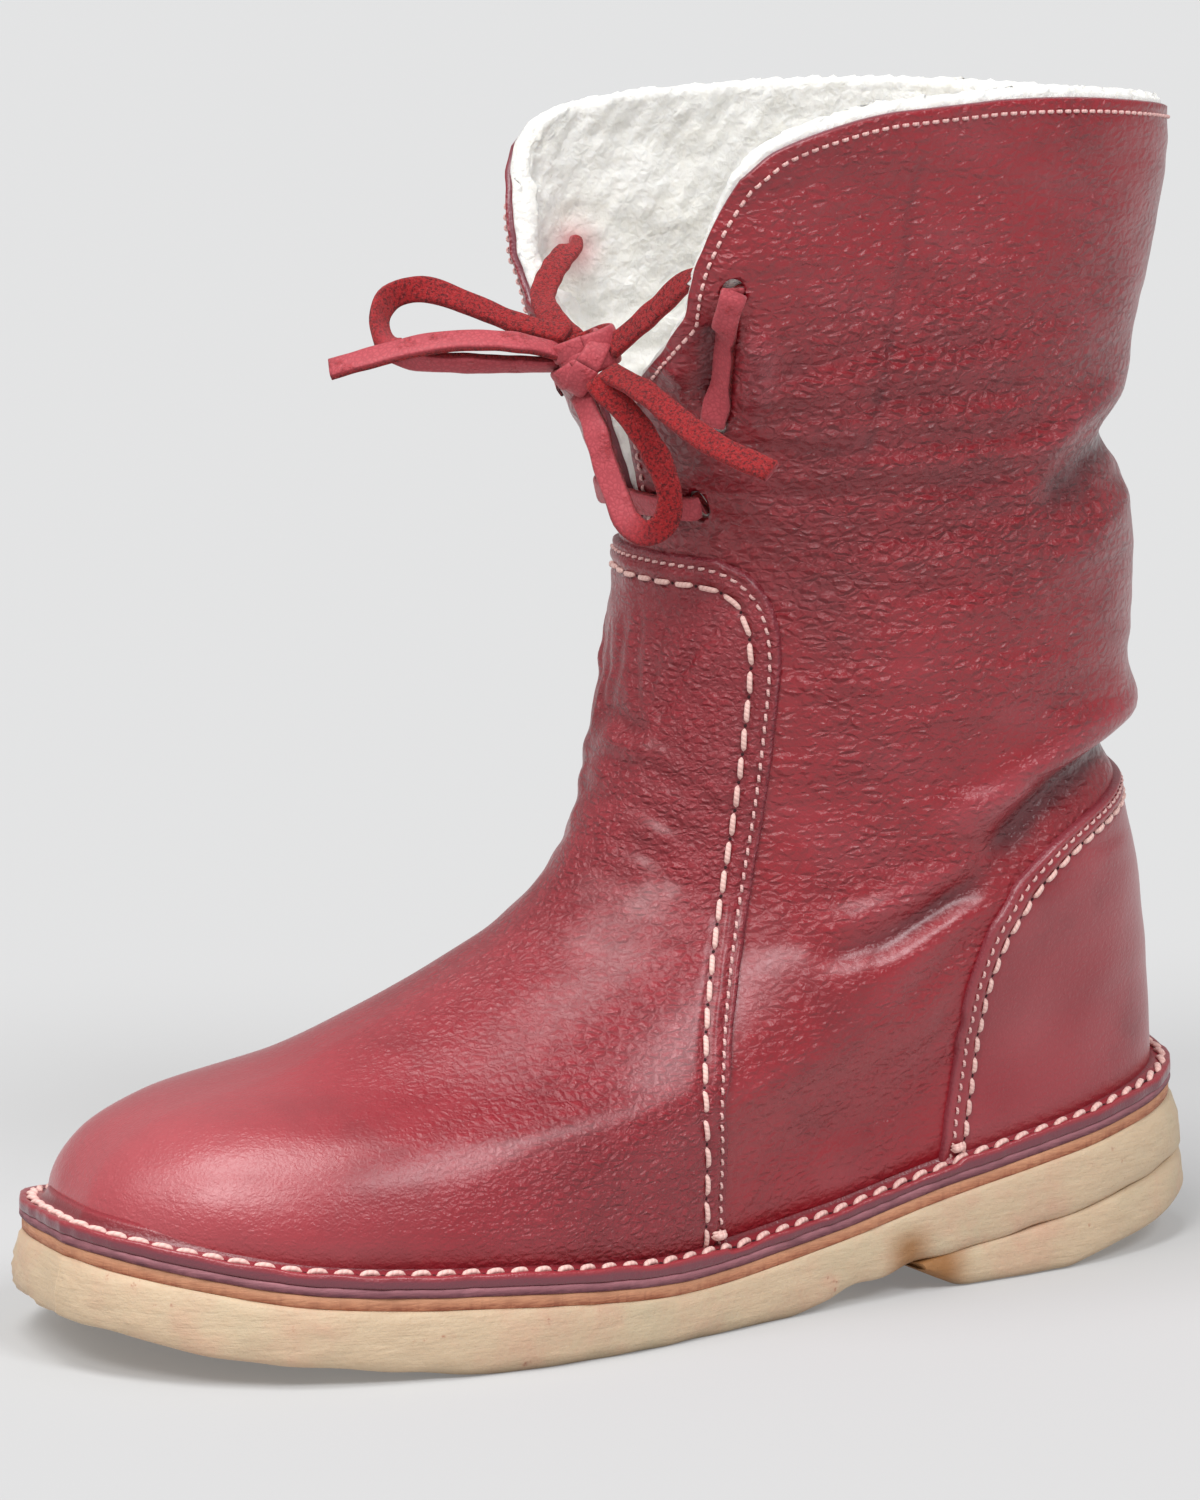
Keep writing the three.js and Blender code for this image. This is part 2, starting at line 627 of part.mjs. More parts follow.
const belowSeat = (depth) => (share, y) => flangeTop(y) - depth;
const WELT_TOP = FLANGE_THICKNESS + GAP;
const MIDSOLE_TOP = WELT_TOP + WELT_THICKNESS + GAP;
const CREPE_TOP = MIDSOLE_TOP + MIDSOLE_THICKNESS + GAP;
const WHOLE = stationsBetween(0, 1, []);

const within = (inset, rake) => (share, side) => outlinePoint(share, side, inset, rake);

function plate(depth, thickness, inset) {
  return slab(WHOLE, [
    { edge: within(inset, 1), height: belowSeat(depth) },
    { edge: within(inset, 1), height: belowSeat(depth + thickness) },
  ]);
}

function makeOutsole() {
  const between = (t) => (share, y) => lerp(flangeTop(y) - CREPE_TOP, underside(share), t);
  return slab(stationsBetween(0, 1, [0.32, 0.45, 0.72]), [
    { edge: within(1, 1), height: between(0) },
    { edge: within(0.2, 0.8), height: between(0.25) },
    { edge: within(0, 0.5), height: between(0.6) },
    { edge: within(0.4, 0.4), height: between(0.9) },
    { edge: within(1.6, 0.5), height: between(1) },
  ]);
}

function makeHeel() {
  const between = (t) => (share) => lerp(underside(share) - GAP, heelUnderside(share), t);
  return slab(stationsBetween(0, HEEL_FRONT, [0.185, 0.275, 0.296]), [
    { edge: within(1.2, 0.5), height: between(0) },
    { edge: within(0.2, 0.3), height: between(0.3) },
    { edge: within(0, 0.1), height: between(0.85) },
    { edge: within(1, 0.1), height: between(1) },
  ]);
}

// Footbed inside the wall's foot
const INSOLE_CLEARANCE = 1.3;

function makeInsole() {
  const inside = (inset) => (share, side) => {
    const [x, y] = offset(side * (1 - share), FEATHER_RISE, -WALL - INSOLE_CLEARANCE - inset);
    return [x, y];
  };
  const top = FLANGE_THICKNESS - INSOLE_THICKNESS;
  return slab(WHOLE, [
    { edge: inside(1), height: belowSeat(top) },
    { edge: inside(0.2), height: belowSeat(top + 0.3 * INSOLE_THICKNESS) },
    { edge: inside(0), height: belowSeat(FLANGE_THICKNESS) },
  ]);
}

// Booleans: a closed geometry to a solid and back
const wasm = await Module();
wasm.setup();

function solid(geometry) {
  const bare = new THREE.BufferGeometry();
  bare.setAttribute('position', geometry.getAttribute('position'));
  bare.setIndex(geometry.index);
  const merged = mergeVertices(bare, 1e-4);
  return new wasm.Manifold(new wasm.Mesh({
    numProp: 3,
    vertProperties: new Float32Array(merged.getAttribute('position').array),
    triVerts: new Uint32Array(merged.index.array),
  }));
}

// Slivers that a cut leaves are closed up, so the mesh stays whole at the precision it is kept in
function unsolid(manifold) {
  const mesh = manifold.getMesh();
  const geometry = new THREE.BufferGeometry();
  geometry.setAttribute('position', new THREE.Float32BufferAttribute(mesh.vertProperties, 3));
  geometry.setIndex([...mesh.triVerts]);
  const merged = mergeVertices(geometry, 1e-3);
  const corners = merged.index.array;
  const kept = [];
  for (let i = 0; i < corners.length; i += 3) {
    const [a, b, c] = [corners[i], corners[i + 1], corners[i + 2]];
    if (a !== b && b !== c && c !== a) {
      kept.push(a, b, c);
    }
  }
  merged.setIndex(kept);
  return merged;
}

// A straight bar with a rectangular section, between two points
function bar(start, end, wide, width, thickness) {
  const along = unit(subtract(end, start));
  const flat = unit(cross(along, wide));
  const across = unit(cross(flat, along));
  return strip([start, end], [across, across], [flat, flat], width, thickness);
}

function strip(points, across, flat, width, thickness) {
  const shell = new Shell();
  const rings = points.map((p, i) => {
    const corners = [[1, 1], [1, -1], [-1, -1], [-1, 1]];
    return corners.map(([a, b]) => {
      const edge = add(p, across[i], a * width / 2);
      return shell.point(add(edge, flat[i], b * thickness / 2));
    });
  });
  for (let i = 0; i + 1 < rings.length; i += 1) {
    for (let k = 0; k < 4; k += 1) {
      const next = (k + 1) % 4;
      shell.quad(rings[i][k], rings[i][next], rings[i + 1][next], rings[i + 1][k]);
    }
  }
  const end = rings[rings.length - 1];
  shell.quad(rings[0][3], rings[0][2], rings[0][1], rings[0][0]);
  shell.quad(end[0], end[1], end[2], end[3]);
  return shell;
}

// A strap that follows the upper at a distance from its outside, from one place to another
function strap(from, to, distance, steps) {
  const points = [];
  const across = [];
  const flat = [];
  for (let step = 0; step <= steps; step += 1) {
    const place = [lerp(from[0], to[0], step / steps), lerp(from[1], to[1], step / steps)];
    points.push(offset(place[0], place[1], distance));
    flat.push(normal(place[0], place[1]));
  }
  for (let step = 0; step <= steps; step += 1) {
    const before = points[Math.max(step - 1, 0)];
    const after = points[Math.min(step + 1, steps)];
    across.push(unit(cross(flat[step], subtract(after, before))));
  }
  return strip(points, across, flat, LACE_WIDTH, LACE_THICKNESS);
}

const holePlace = (hole, side) => {
  const distance = (side === INNER ? hole.inner : hole.outer) * BALL_WIDTH / 2;
  return [side * distance / ring(hole.rise, side).total, hole.rise];
};

function holeCutter(hole, side) {
  const [turn, rise] = holePlace(hole, side);
  const depth = 3 * WALL;
  const cutter = new THREE.CylinderGeometry(LACE_HOLE_RADIUS, LACE_HOLE_RADIUS, 2 * depth, 10);
  const axis = new THREE.Vector3(...normal(turn, rise));
  cutter.applyQuaternion(new THREE.Quaternion().setFromUnitVectors(new THREE.Vector3(0, 1, 0), axis));
  cutter.translate(...offset(turn, rise, -WALL / 2));
  return solid(cutter);
}

function pierced(shell) {
  let body = solid(shell.geometry());
  for (const hole of Object.values(HOLES)) {
    for (const side of [OUTER, INNER]) {
      body = body.subtract(holeCutter(hole, side));
    }
  }
  return unsolid(body);
}

// Lace through the holes: over the throat low down, inside to the middle holes, outside up to the
// upper holes, and inside again to the knot
function makeCrossings() {
  const outsideLace = LACE_CLEARANCE + LACE_THICKNESS / 2;
  const insideLace = -WALL - outsideLace;
  const pieces = [strap(holePlace(HOLES.lower, INNER), holePlace(HOLES.lower, OUTER), outsideLace, 12)];
  for (const side of [OUTER, INNER]) {
    const lower = holePlace(HOLES.lower, side);
    const middle = holePlace(HOLES.middle, side);
    const upper = holePlace(HOLES.upper, side);
    for (const [turn, rise] of [lower, middle, upper]) {
      const inner = offset(turn, rise, insideLace - LACE_THICKNESS);
      const outer = offset(turn, rise, outsideLace + LACE_THICKNESS / 2);
      pieces.push(bar(inner, outer, [0, 0, 1], LACE_WIDTH - LACE_SQUEEZE, LACE_THICKNESS));
    }
    pieces.push(strap(lower, middle, insideLace, 5));
    pieces.push(strap(middle, upper, outsideLace, 8));
    const start = offset(upper[0], upper[1], insideLace - LACE_THICKNESS);
    const reach = subtract(KNOT, start);
    const end = add(start, reach, 1 - (KNOT_RADIUS + GAP) / length(reach));
    pieces.push(bar(start, end, [0, 0, 1], LACE_WIDTH - LACE_SQUEEZE, LACE_THICKNESS));
  }
  const joined = pieces.map((piece) => solid(piece.geometry()));
  return unsolid(joined.reduce((body, piece) => body.add(piece)));
}

function makeCord(points) {
  const route = new THREE.CatmullRomCurve3(points.map((p) => new THREE.Vector3(...p)));
  const outline = new THREE.Shape();
  for (let k = 0; k < CORD_SIDES; k += 1) {
    const angle = 2 * Math.PI * k / CORD_SIDES;
    const [x, y] = [CORD_RADIUS * Math.cos(angle), CORD_RADIUS * Math.sin(angle)];
    if (k === 0) {
      outline.moveTo(x, y);
    } else {
      outline.lineTo(x, y);
    }
  }
  outline.closePath();
  const steps = Math.ceil(route.getLength() / (4 * CORD_RADIUS));
  return new THREE.ExtrudeGeometry(outline, { steps, bevelEnabled: false, extrudePath: route });
}

function makeKnot() {
  const knot = new THREE.SphereGeometry(KNOT_RADIUS, 12, 8);
  knot.scale(1, 0.8, 1.1);
  knot.translate(...KNOT);
  return knot;
}

// Assembly
const boot = new THREE.Group();

function place(name, geometry, look) {
  const mesh = new THREE.Mesh(geometry, new THREE.MeshStandardMaterial({ ...look, metalness: 0 }));
  mesh.name = name;
  boot.add(mesh);
}

place('upper', pierced(makeUpper()), LEATHER);
const overlayTop = OVERLAY_GAP + OVERLAY_THICKNESS;
const vampRows = panelRows(VAMP, VAMP_CORNER, VAMP_COLUMNS, 0);
place('vamp', overlay(vampRows, OVERLAY_GAP, overlayTop).geometry(), LEATHER);
const counterRows = panelRows(COUNTER, COUNTER_CORNER, COUNTER_COLUMNS, 1);
place('heel_counter', overlay(counterRows, OVERLAY_GAP, overlayTop).geometry(), LEATHER);
place('welt', plate(WELT_TOP, WELT_THICKNESS, EDGE_INSET + 0.4).geometry(), LEATHER_EDGE);
place('midsole', plate(MIDSOLE_TOP, MIDSOLE_THICKNESS, EDGE_INSET + 0.8).geometry(), TAN);
place('outsole', makeOutsole().geometry(), CREPE);
place('heel', makeHeel().geometry(), CREPE);
place('insole', makeInsole().geometry(), FOOTBED);
place('lace_crossings', makeCrossings(), LACE_LEATHER);
place('lace_knot', makeKnot(), LACE_LEATHER);
for (const [name, points] of Object.entries(BOW)) {
  place(name, makeCord(points), LACE_LEATHER);
}

export default boot;
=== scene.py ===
# Shearling ankle boot, left foot: leather, seams, pile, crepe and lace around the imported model
import math

import bpy
import numpy as np
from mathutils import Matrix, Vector


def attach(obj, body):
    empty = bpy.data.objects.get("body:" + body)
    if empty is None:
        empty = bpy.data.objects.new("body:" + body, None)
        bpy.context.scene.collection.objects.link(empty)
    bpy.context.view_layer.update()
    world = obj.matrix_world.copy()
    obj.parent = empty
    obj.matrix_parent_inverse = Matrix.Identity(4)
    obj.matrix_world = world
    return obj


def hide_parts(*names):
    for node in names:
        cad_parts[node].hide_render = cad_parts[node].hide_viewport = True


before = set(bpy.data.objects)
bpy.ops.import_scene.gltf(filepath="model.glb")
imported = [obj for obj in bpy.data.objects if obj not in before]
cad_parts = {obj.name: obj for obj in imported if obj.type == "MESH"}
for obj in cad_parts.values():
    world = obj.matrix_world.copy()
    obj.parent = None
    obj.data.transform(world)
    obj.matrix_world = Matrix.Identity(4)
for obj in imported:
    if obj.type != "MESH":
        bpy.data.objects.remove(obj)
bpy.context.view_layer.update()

BODY = "root"
MM = 0.001

# Driving sizes of the boot in millimetres: toe towards -Y, outer side towards +X
LENGTH = 285
BALL_WIDTH = 110
HALF_BALL = BALL_WIDTH / 2
HEEL_BACK = 65
COLLAR_HEIGHT = 254
FLANGE_WIDTH = 7
FLANGE_THICKNESS = 2
WELT_THICKNESS = 1.4
MIDSOLE_THICKNESS = 2.3
INSOLE_THICKNESS = 3.2
HEEL_RAKE = 4
TOE_RAKE = 2
EDGE_INSET = 0.5
TOE_SPRING = 10.8
HEEL_BEVEL = 11
WAIST_HEIGHT = 18
SEAT_HEIGHT = 41

# Sizes of what is added here
LEATHER = 1.8
PANEL = 1.6
PILE = 4.4
LACE_WIDTH = 5.6
LACE_THICKNESS = 2.2
THIN_ROW = 2.2
VAMP_ROW = 6.3
COUNTER_ROW = 5.2

OUTER = 1
INNER = -1

# The photograph's view
CAMERA_AT = (1461.6, -949.7, 429.4)
CAMERA_AZIMUTH = 59.398
CAMERA_ELEVATION = 10.317
CAMERA_LENS = 190.6
SENSOR = 36


def aim(thing, azimuth, elevation):
    """Turns a camera or a sun towards the boot from that side and height, and gives the way back to it"""
    azimuth, elevation = math.radians(azimuth), math.radians(elevation)
    back = Vector((math.sin(azimuth) * math.cos(elevation), -math.cos(azimuth) * math.cos(elevation),
                   math.sin(elevation)))
    thing.rotation_mode = "QUATERNION"
    thing.rotation_quaternion = (-back).to_track_quat("-Z", "Y")
    return back


def make_camera():
    data = bpy.data.cameras.new("photo_view")
    data.lens = CAMERA_LENS
    data.sensor_width = SENSOR
    data.clip_start = 0.05
    data.clip_end = 100
    camera = bpy.data.objects.new("photo_view", data)
    aim(camera, CAMERA_AZIMUTH, CAMERA_ELEVATION)
    camera.location = Vector(CAMERA_AT) * MM
    bpy.context.scene.collection.objects.link(camera)
    bpy.context.scene.camera = camera


make_camera()


# Meshes from arrays of points in millimetres
def unit(vectors):
    return vectors / np.maximum(np.linalg.norm(vectors, axis=-1, keepdims=True), 1e-9)


def lengths_down(line):
    """Distance down a line of points to each of them"""
    return np.concatenate([[0], np.cumsum(np.linalg.norm(np.diff(line, axis=0), axis=1))])


def make_mesh(name, points, faces, material, paint=None):
    """A smooth mesh of points in millimetres; paint gives a value per point by name"""
    mesh = bpy.data.meshes.new(name)
    mesh.from_pydata((np.asarray(points, float).reshape(-1, 3) * MM).tolist(), [], [tuple(f) for f in faces])
    mesh.polygons.foreach_set("use_smooth", np.ones(len(mesh.polygons), bool))
    for key, values in (paint or {}).items():
        layer = mesh.attributes.new(key, "FLOAT", "POINT")
        layer.data.foreach_set("value", np.asarray(values, np.float32).ravel())
    mesh.update()
    mesh.materials.append(material)
    piece = bpy.data.objects.new(name, mesh)
    bpy.context.scene.collection.objects.link(piece)
    return piece


def dress(piece, slot, *nodes):
    """The piece rides on the boot and stands for the nodes; slot is not used"""
    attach(piece, BODY)
    if nodes:
        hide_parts(*nodes)
    return piece


def quads(ids, wrap_rows=False, wrap_columns=False):
    """Faces of a grid of point numbers"""
    if wrap_rows:
        ids = np.vstack([ids, ids[:1]])
    if wrap_columns:
        ids = np.hstack([ids, ids[:, :1]])
    a, b, c, d = ids[:-1, :-1], ids[:-1, 1:], ids[1:, 1:], ids[1:, :-1]
    return np.stack([a, b, c, d], axis=-1).reshape(-1, 4).tolist()


def closed_sheet(over, under):
    """Points and faces of a sheet closed round its rim between two grids of points"""
    count = over.shape[0] * over.shape[1]
    ids = np.arange(count).reshape(over.shape[:2])
    faces = quads(ids) + quads(ids[:, ::-1] + count)
    rim = np.concatenate([ids[0, :-1], ids[:-1, -1], ids[-1, :0:-1], ids[:0:-1, 0]])
    faces += quads(np.stack([rim + count, rim]), wrap_columns=True)
    return np.concatenate([over.reshape(-1, 3), under.reshape(-1, 3)]), faces


class Heap:
    """Joins many small forms into one mesh"""

    def __init__(self):
        self.points, self.faces, self.paint, self.count = [], [], {}, 0

    def add(self, points, faces, **paint):
        points = np.asarray(points, float).reshape(-1, 3)
        self.points.append(points)
        self.faces += [[i + self.count for i in face] for face in faces]
        for key, values in paint.items():
            self.paint.setdefault(key, []).append(np.broadcast_to(values, len(points)))
        self.count += len(points)

    def mesh(self, name, material):
        paint = {key: np.concatenate(values) for key, values in self.paint.items()}
        return make_mesh(name, np.concatenate(self.points), self.faces, material, paint)


def tube_faces(rings, sides):
    """Faces of a tube whose rings of points follow each other, closed by a fan at each end"""
    ids = np.arange(rings * sides).reshape(rings, sides)
    faces = quads(ids, wrap_columns=True)
    return faces + [ids[0, ::-1].tolist(), ids[-1].tolist()]


def waves(u, v, size, seed, count=7):
    """Soft even noise from a few crossed waves of about that size"""
    spin = np.random.default_rng(seed)
    total = np.zeros(np.broadcast(u, v).shape)
    for angle, phase, scale in zip(spin.uniform(0, np.pi, count), spin.uniform(0, 2 * np.pi, count),
                                   spin.uniform(0.7, 1.5, count)):
        total += np.sin((np.cos(angle) * u + np.sin(angle) * v) * 2 * np.pi / (size * scale) + phase)
    return total / math.sqrt(count)


# Lines through tables
def smooth(rows, column):
    """Monotone cubic through a table's column over its first one"""
    xs = np.array([row[0] for row in rows], float)
    ys = np.array([row[column] for row in rows], float)
    steps = np.diff(xs)
    rises = np.diff(ys) / steps
    slopes = np.zeros(len(xs))
    slopes[0], slopes[-1] = rises[0], rises[-1]
    for i in range(1, len(xs) - 1):
        if rises[i - 1] * rises[i] > 0:
            ahead, behind = 2 * steps[i] + steps[i - 1], steps[i] + 2 * steps[i - 1]
            slopes[i] = (ahead + behind) / (ahead / rises[i - 1] + behind / rises[i])

    def read(value):
        x = np.clip(value, xs[0], xs[-1])
        i = np.clip(np.searchsorted(xs, x, side="right") - 1, 0, len(steps) - 1)
        t = (x - xs[i]) / steps[i]
        low = (2 * t ** 3 - 3 * t ** 2 + 1) * ys[i] + (t ** 3 - 2 * t ** 2 + t) * steps[i] * slopes[i]
        return low + (3 * t ** 2 - 2 * t ** 3) * ys[i + 1] + (t ** 3 - t ** 2) * steps[i] * slopes[i + 1]

    return read


def lerp(a, b, t):
    return a + (b - a) * t


def ease(t):
    t = np.clip(t, 0, 1)
    return t * t * (3 - 2 * t)


# Sole outline: share from the heel's back, outer and inner half widths as shares of the ball width
OUTLINE = [
    (0, 0, 0), (0.012, 0.113, 0.113), (0.04, 0.216, 0.216), (0.09, 0.293, 0.293), (0.15, 0.339, 0.334),
    (0.22, 0.356, 0.335), (0.3, 0.365, 0.318), (0.4, 0.39, 0.3), (0.5, 0.434, 0.322), (0.6, 0.485, 0.39),
    (0.68, 0.5, 0.436), (0.75, 0.484, 0.475), (0.82, 0.444, 0.495), (0.88, 0.389, 0.48),
    (0.93, 0.301, 0.426), (0.97, 0.196, 0.328), (0.993, 0.08, 0.18), (1, 0, 0),
]
# Height of the flange's top, as shares of SEAT_HEIGHT
SEAT = [
    (0, 1), (0.1, 0.885), (0.2, 0.775), (0.3, 0.66), (0.42, 0.505), (0.55, 0.425), (0.7, 0.5),
    (0.85, 0.575), (1, 0.765),
]
# Underside of the crepe
UNDERSIDE = [
    (0, 1.15 * WAIST_HEIGHT), (0.1, 0.86 * WAIST_HEIGHT), (0.2, 0.6 * WAIST_HEIGHT),
    (0.32, 0.37 * WAIST_HEIGHT), (0.39, 0.2 * WAIST_HEIGHT), (0.45, 0), (0.72, 0), (0.8, 0.2 * TOE_SPRING),
    (0.87, 0.39 * TOE_SPRING), (0.93, 0.6 * TOE_SPRING), (1, TOE_SPRING),
]
HEEL_FRONT = 0.318
HEEL_UNDERSIDE = [
    (0, HEEL_BEVEL), (0.04, 0.78 * HEEL_BEVEL), (0.08, 0.5 * HEEL_BEVEL), (0.135, 0.26 * HEEL_BEVEL),
    (0.185, 0), (0.275, 0), (0.296, 0.18 * HEEL_BEVEL), (HEEL_FRONT, 0.46 * HEEL_BEVEL),
]
# Sections of the upper: rise, front, back rise, back, outer and inner half width, how much it follows the
# sole's outline, squareness, place of the widest point, outer and inner lift
SECTIONS = [
    (0.118, 0, 0.154, 0, 0.864, 0.864, 1, 2, 0.5, 0, 0),
    (0.142, 0.961, 0.181, 0.041, 0.9, 0.9, 1, 2, 0.5, 0, 0),
    (0.169, 0.944, 0.213, 0.043, 0.89, 0.9, 0.93, 1.8, 0.42, 0, 0),
    (0.197, 0.902, 0.244, 0.047, 0.873, 0.882, 0.76, 1.65, 0.38, 0, 0),
    (0.22, 0.806, 0.272, 0.052, 0.855, 0.864, 0.56, 1.6, 0.36, 0, 0),
    (0.244, 0.748, 0.299, 0.058, 0.836, 0.845, 0.38, 1.6, 0.35, 0, 0),
    (0.276, 0.677, 0.331, 0.064, 0.818, 0.827, 0.22, 1.65, 0.35, 0, 0),
    (0.315, 0.608, 0.362, 0.072, 0.8, 0.81, 0.1, 1.7, 0.36, 0, 0),
    (0.362, 0.561, 0.398, 0.082, 0.79, 0.8, 0.04, 1.75, 0.39, 0, 0),
    (0.417, 0.531, 0.441, 0.091, 0.79, 0.8, 0, 1.85, 0.43, 0, 0),
    (0.488, 0.514, 0.5, 0.075, 0.827, 0.827, 0, 1.9, 0.47, 0, 0),
    (0.567, 0.495, 0.575, 0.071, 0.855, 0.855, 0, 1.95, 0.5, 0, 0),
    (0.642, 0.487, 0.65, 0.076, 0.873, 0.873, 0, 2, 0.5, 0, 0),
    (0.728, 0.508, 0.732, 0.099, 0.882, 0.882, 0, 2.4, 0.5, 0.004, 0),
    (0.807, 0.523, 0.811, 0.075, 0.89, 0.89, 0, 4, 0.5, 0.008, 0),
    (0.886, 0.533, 0.89, 0.058, 0.91, 0.91, 0, 7, 0.5, 0.016, 0),
    (0.945, 0.533, 0.949, 0.048, 0.927, 0.927, 0, 8, 0.5, 0.026, 0.004),
    (1, 0.53, 1.002, 0.047, 0.945, 0.945, 0, 8, 0.5, 0.032, 0.008),
]
FEATHER_RISE = SECTIONS[0][0]
FEATHER_BACK_RISE = SECTIONS[0][2]
FEATHER_BLEND = 0.177
FEATHER_BACK = (HEEL_RAKE + FLANGE_WIDTH) / LENGTH
FEATHER_FRONT = 1 - (TOE_RAKE + FLANGE_WIDTH) / LENGTH
BACK_SQUARE = 2.2
SECTIONS[0] = (FEATHER_RISE, FEATHER_FRONT, FEATHER_BACK_RISE, FEATHER_BACK, *SECTIONS[0][4:])
# Throat: rise, half width as shares of half the ball width
THROAT = [
    (0.654, 0), (0.685, 0.04), (0.728, 0.065), (0.768, 0.11), (0.797, 0.24), (0.813, 0.35), (0.838, 0.52),
    (0.858, 0.63), (0.876, 0.68), (0.909, 0.74), (0.943, 0.82), (0.972, 0.92),
]
THROAT_BASE = THROAT[0][0]
CORNER_RISE = THROAT[-1][0]
COLLAR_EDGE = [(0, CORNER_RISE), (0.05, 0.989), (0.12, 0.996), (0.23, 1), (1, 1)]
# Panels: rise, half width as shares of the half ring from the panel's middle
VAMP = [
    (0.124, 0.503), (0.145, 0.498), (0.165, 0.492), (0.18, 0.482), (0.195, 0.464), (0.2185, 0.407),
    (0.245, 0.369), (0.272, 0.333), (0.295, 0.303), (0.32, 0.276), (0.346, 0.2585), (0.385, 0.244),
    (0.427, 0.239), (0.492, 0.2305), (0.577, 0.219), (0.6, 0.208), (0.62, 0.19), (0.634, 0.168),
    (0.645, 0.13),
]
COUNTER = [
    (0.124, 0.296), (0.165, 0.296), (0.18, 0.299), (0.195, 0.306), (0.209, 0.326), (0.225, 0.352),
    (0.242, 0.367), (0.26, 0.379), (0.291, 0.3915), (0.317, 0.3905), (0.348, 0.36), (0.372, 0.305),
    (0.394, 0.19), (0.404, 0.05),
]
# Lace holes: rise, then distance from the front centre on the outer and the inner side, as shares of half
# the ball width
HOLES = {"lower": (0.69, 0.37, 0.37), "middle": (0.768, 0.6, 0.6), "upper": (0.88, 0.87, 1.12)}

outline_outer = smooth(OUTLINE, 1)
outline_inner = smooth(OUTLINE, 2)
seat_top = smooth(SEAT, 1)
underside = smooth(UNDERSIDE, 1)
heel_underside = smooth(HEEL_UNDERSIDE, 1)


def flange_top(y):
    return seat_top((HEEL_BACK - y) / LENGTH) * SEAT_HEIGHT


def outline_half(share, side):
    return side * 2 * (outline_outer(share) if side == OUTER else outline_inner(share))


def outline_point(share, side, inset, rake):
    back = HEEL_BACK - HEEL_RAKE * rake - inset
    front = HEEL_BACK - LENGTH + TOE_RAKE * rake + inset
    return outline_half(share, side) * (HALF_BALL - inset), lerp(back, front, share)


# The upper's outside as a fine grid of places: rise up the boot, turn round it
section = {name: smooth(SECTIONS, i + 1) for i, name in enumerate(
    ["front", "back_rise", "back", "outer", "inner", "foot", "square", "middle", "lift_outer", "lift_inner"])}
RING_STEPS = 180


def half_ring(rise, side):
    """Points from the front centre to the back on one side"""
    front = HEEL_BACK - section["front"](rise) * LENGTH
    back = HEEL_BACK - section["back"](rise) * LENGTH
    half = section["outer" if side == OUTER else "inner"](rise) * HALF_BALL
    lift = section["lift_outer" if side == OUTER else "lift_inner"](rise) * COLLAR_HEIGHT
    foot = section["foot"](rise)
    widest = lerp(back, front, section["middle"](rise))
    seat = ease(1 - (rise - FEATHER_RISE) / FEATHER_BLEND)
    step = np.arange(RING_STEPS + 1)
    angle = np.pi * step / RING_STEPS
    cosine = np.cos(angle)
    along = (1 - cosine) / 2
    power = 2 / np.where(step < RING_STEPS / 2, section["square"](rise), BACK_SQUARE)
    reach = np.where(cosine > 0, widest - front, back - widest)
    oval_y = widest - reach * np.sign(cosine) * np.abs(cosine) ** power
    oval_x = half * np.abs(np.sin(angle)) ** power
    foot_x = half * np.abs(outline_half(1 - along, side))
    y = lerp(oval_y, lerp(front, back, along), foot)
    share = (y - front) / (back - front)
    plain = lerp(rise, section["back_rise"](rise), share) * COLLAR_HEIGHT
    feather_y = HEEL_BACK - lerp(FEATHER_FRONT, FEATHER_BACK, share) * LENGTH
    feather_z = lerp(FEATHER_RISE, FEATHER_BACK_RISE, share) * COLLAR_HEIGHT
    z = plain + lift * 4 * share * (1 - share) + seat * (flange_top(feather_y) - feather_z)
    return np.stack([side * lerp(oval_x, foot_x, foot), y, z], axis=1)


def columns_at(at, lengths, values):
    """Rows of values read at places down a line whose points lie at those lengths"""
    return np.stack([np.interp(at, lengths, values[:, k]) for k in range(values.shape[1])], axis=-1)


def spread(points, shares):
    """Points at shares of a line's length, and the length"""
    lengths = lengths_down(points)
    at = np.asarray(shares) * lengths[-1]
    return columns_at(at, lengths, points), lengths[-1]


def front_levels(low, high, count, evenness):
    """Rises between two, spaced by length down the boot's front, or by height where evenness is 1"""
    rises = np.linspace(low, high, 400)
    front = np.array([half_ring(rise, OUTER)[0] for rise in rises])
    lengths = lengths_down(front)
    measure = lerp(lengths / lengths[-1], np.linspace(0, 1, 400), evenness)
    return np.interp(np.linspace(0, 1, count), measure, rises)


RISE_COUNT = 321
TURN_COUNT = 320
RISES = front_levels(FEATHER_RISE, 1, RISE_COUNT, 0.5)
SHARES = np.linspace(0, 1, TURN_COUNT + 1)
FORM = np.zeros((RISE_COUNT, 2 * TURN_COUNT + 1, 3))
TOTAL = {OUTER: np.zeros(RISE_COUNT), INNER: np.zeros(RISE_COUNT)}
for row, level in enumerate(RISES):
    for side in (OUTER, INNER):
        points, TOTAL[side][row] = spread(half_ring(level, side), SHARES)
        FORM[row, TURN_COUNT::side] = points
around = np.concatenate([FORM[:, -2:-1], FORM, FORM[:, 1:2]], axis=1)
FORM_NORMAL = unit(np.cross(around[:, 2:] - around[:, :-2], np.gradient(FORM, axis=0)))


def half_length(turn, rise):
    """Length of the half ring on the turn's side"""
    rise, turn = np.broadcast_arrays(rise, turn)
    return np.where(turn >= 0, np.interp(rise, RISES, TOTAL[OUTER]), np.interp(rise, RISES, TOTAL[INNER]))


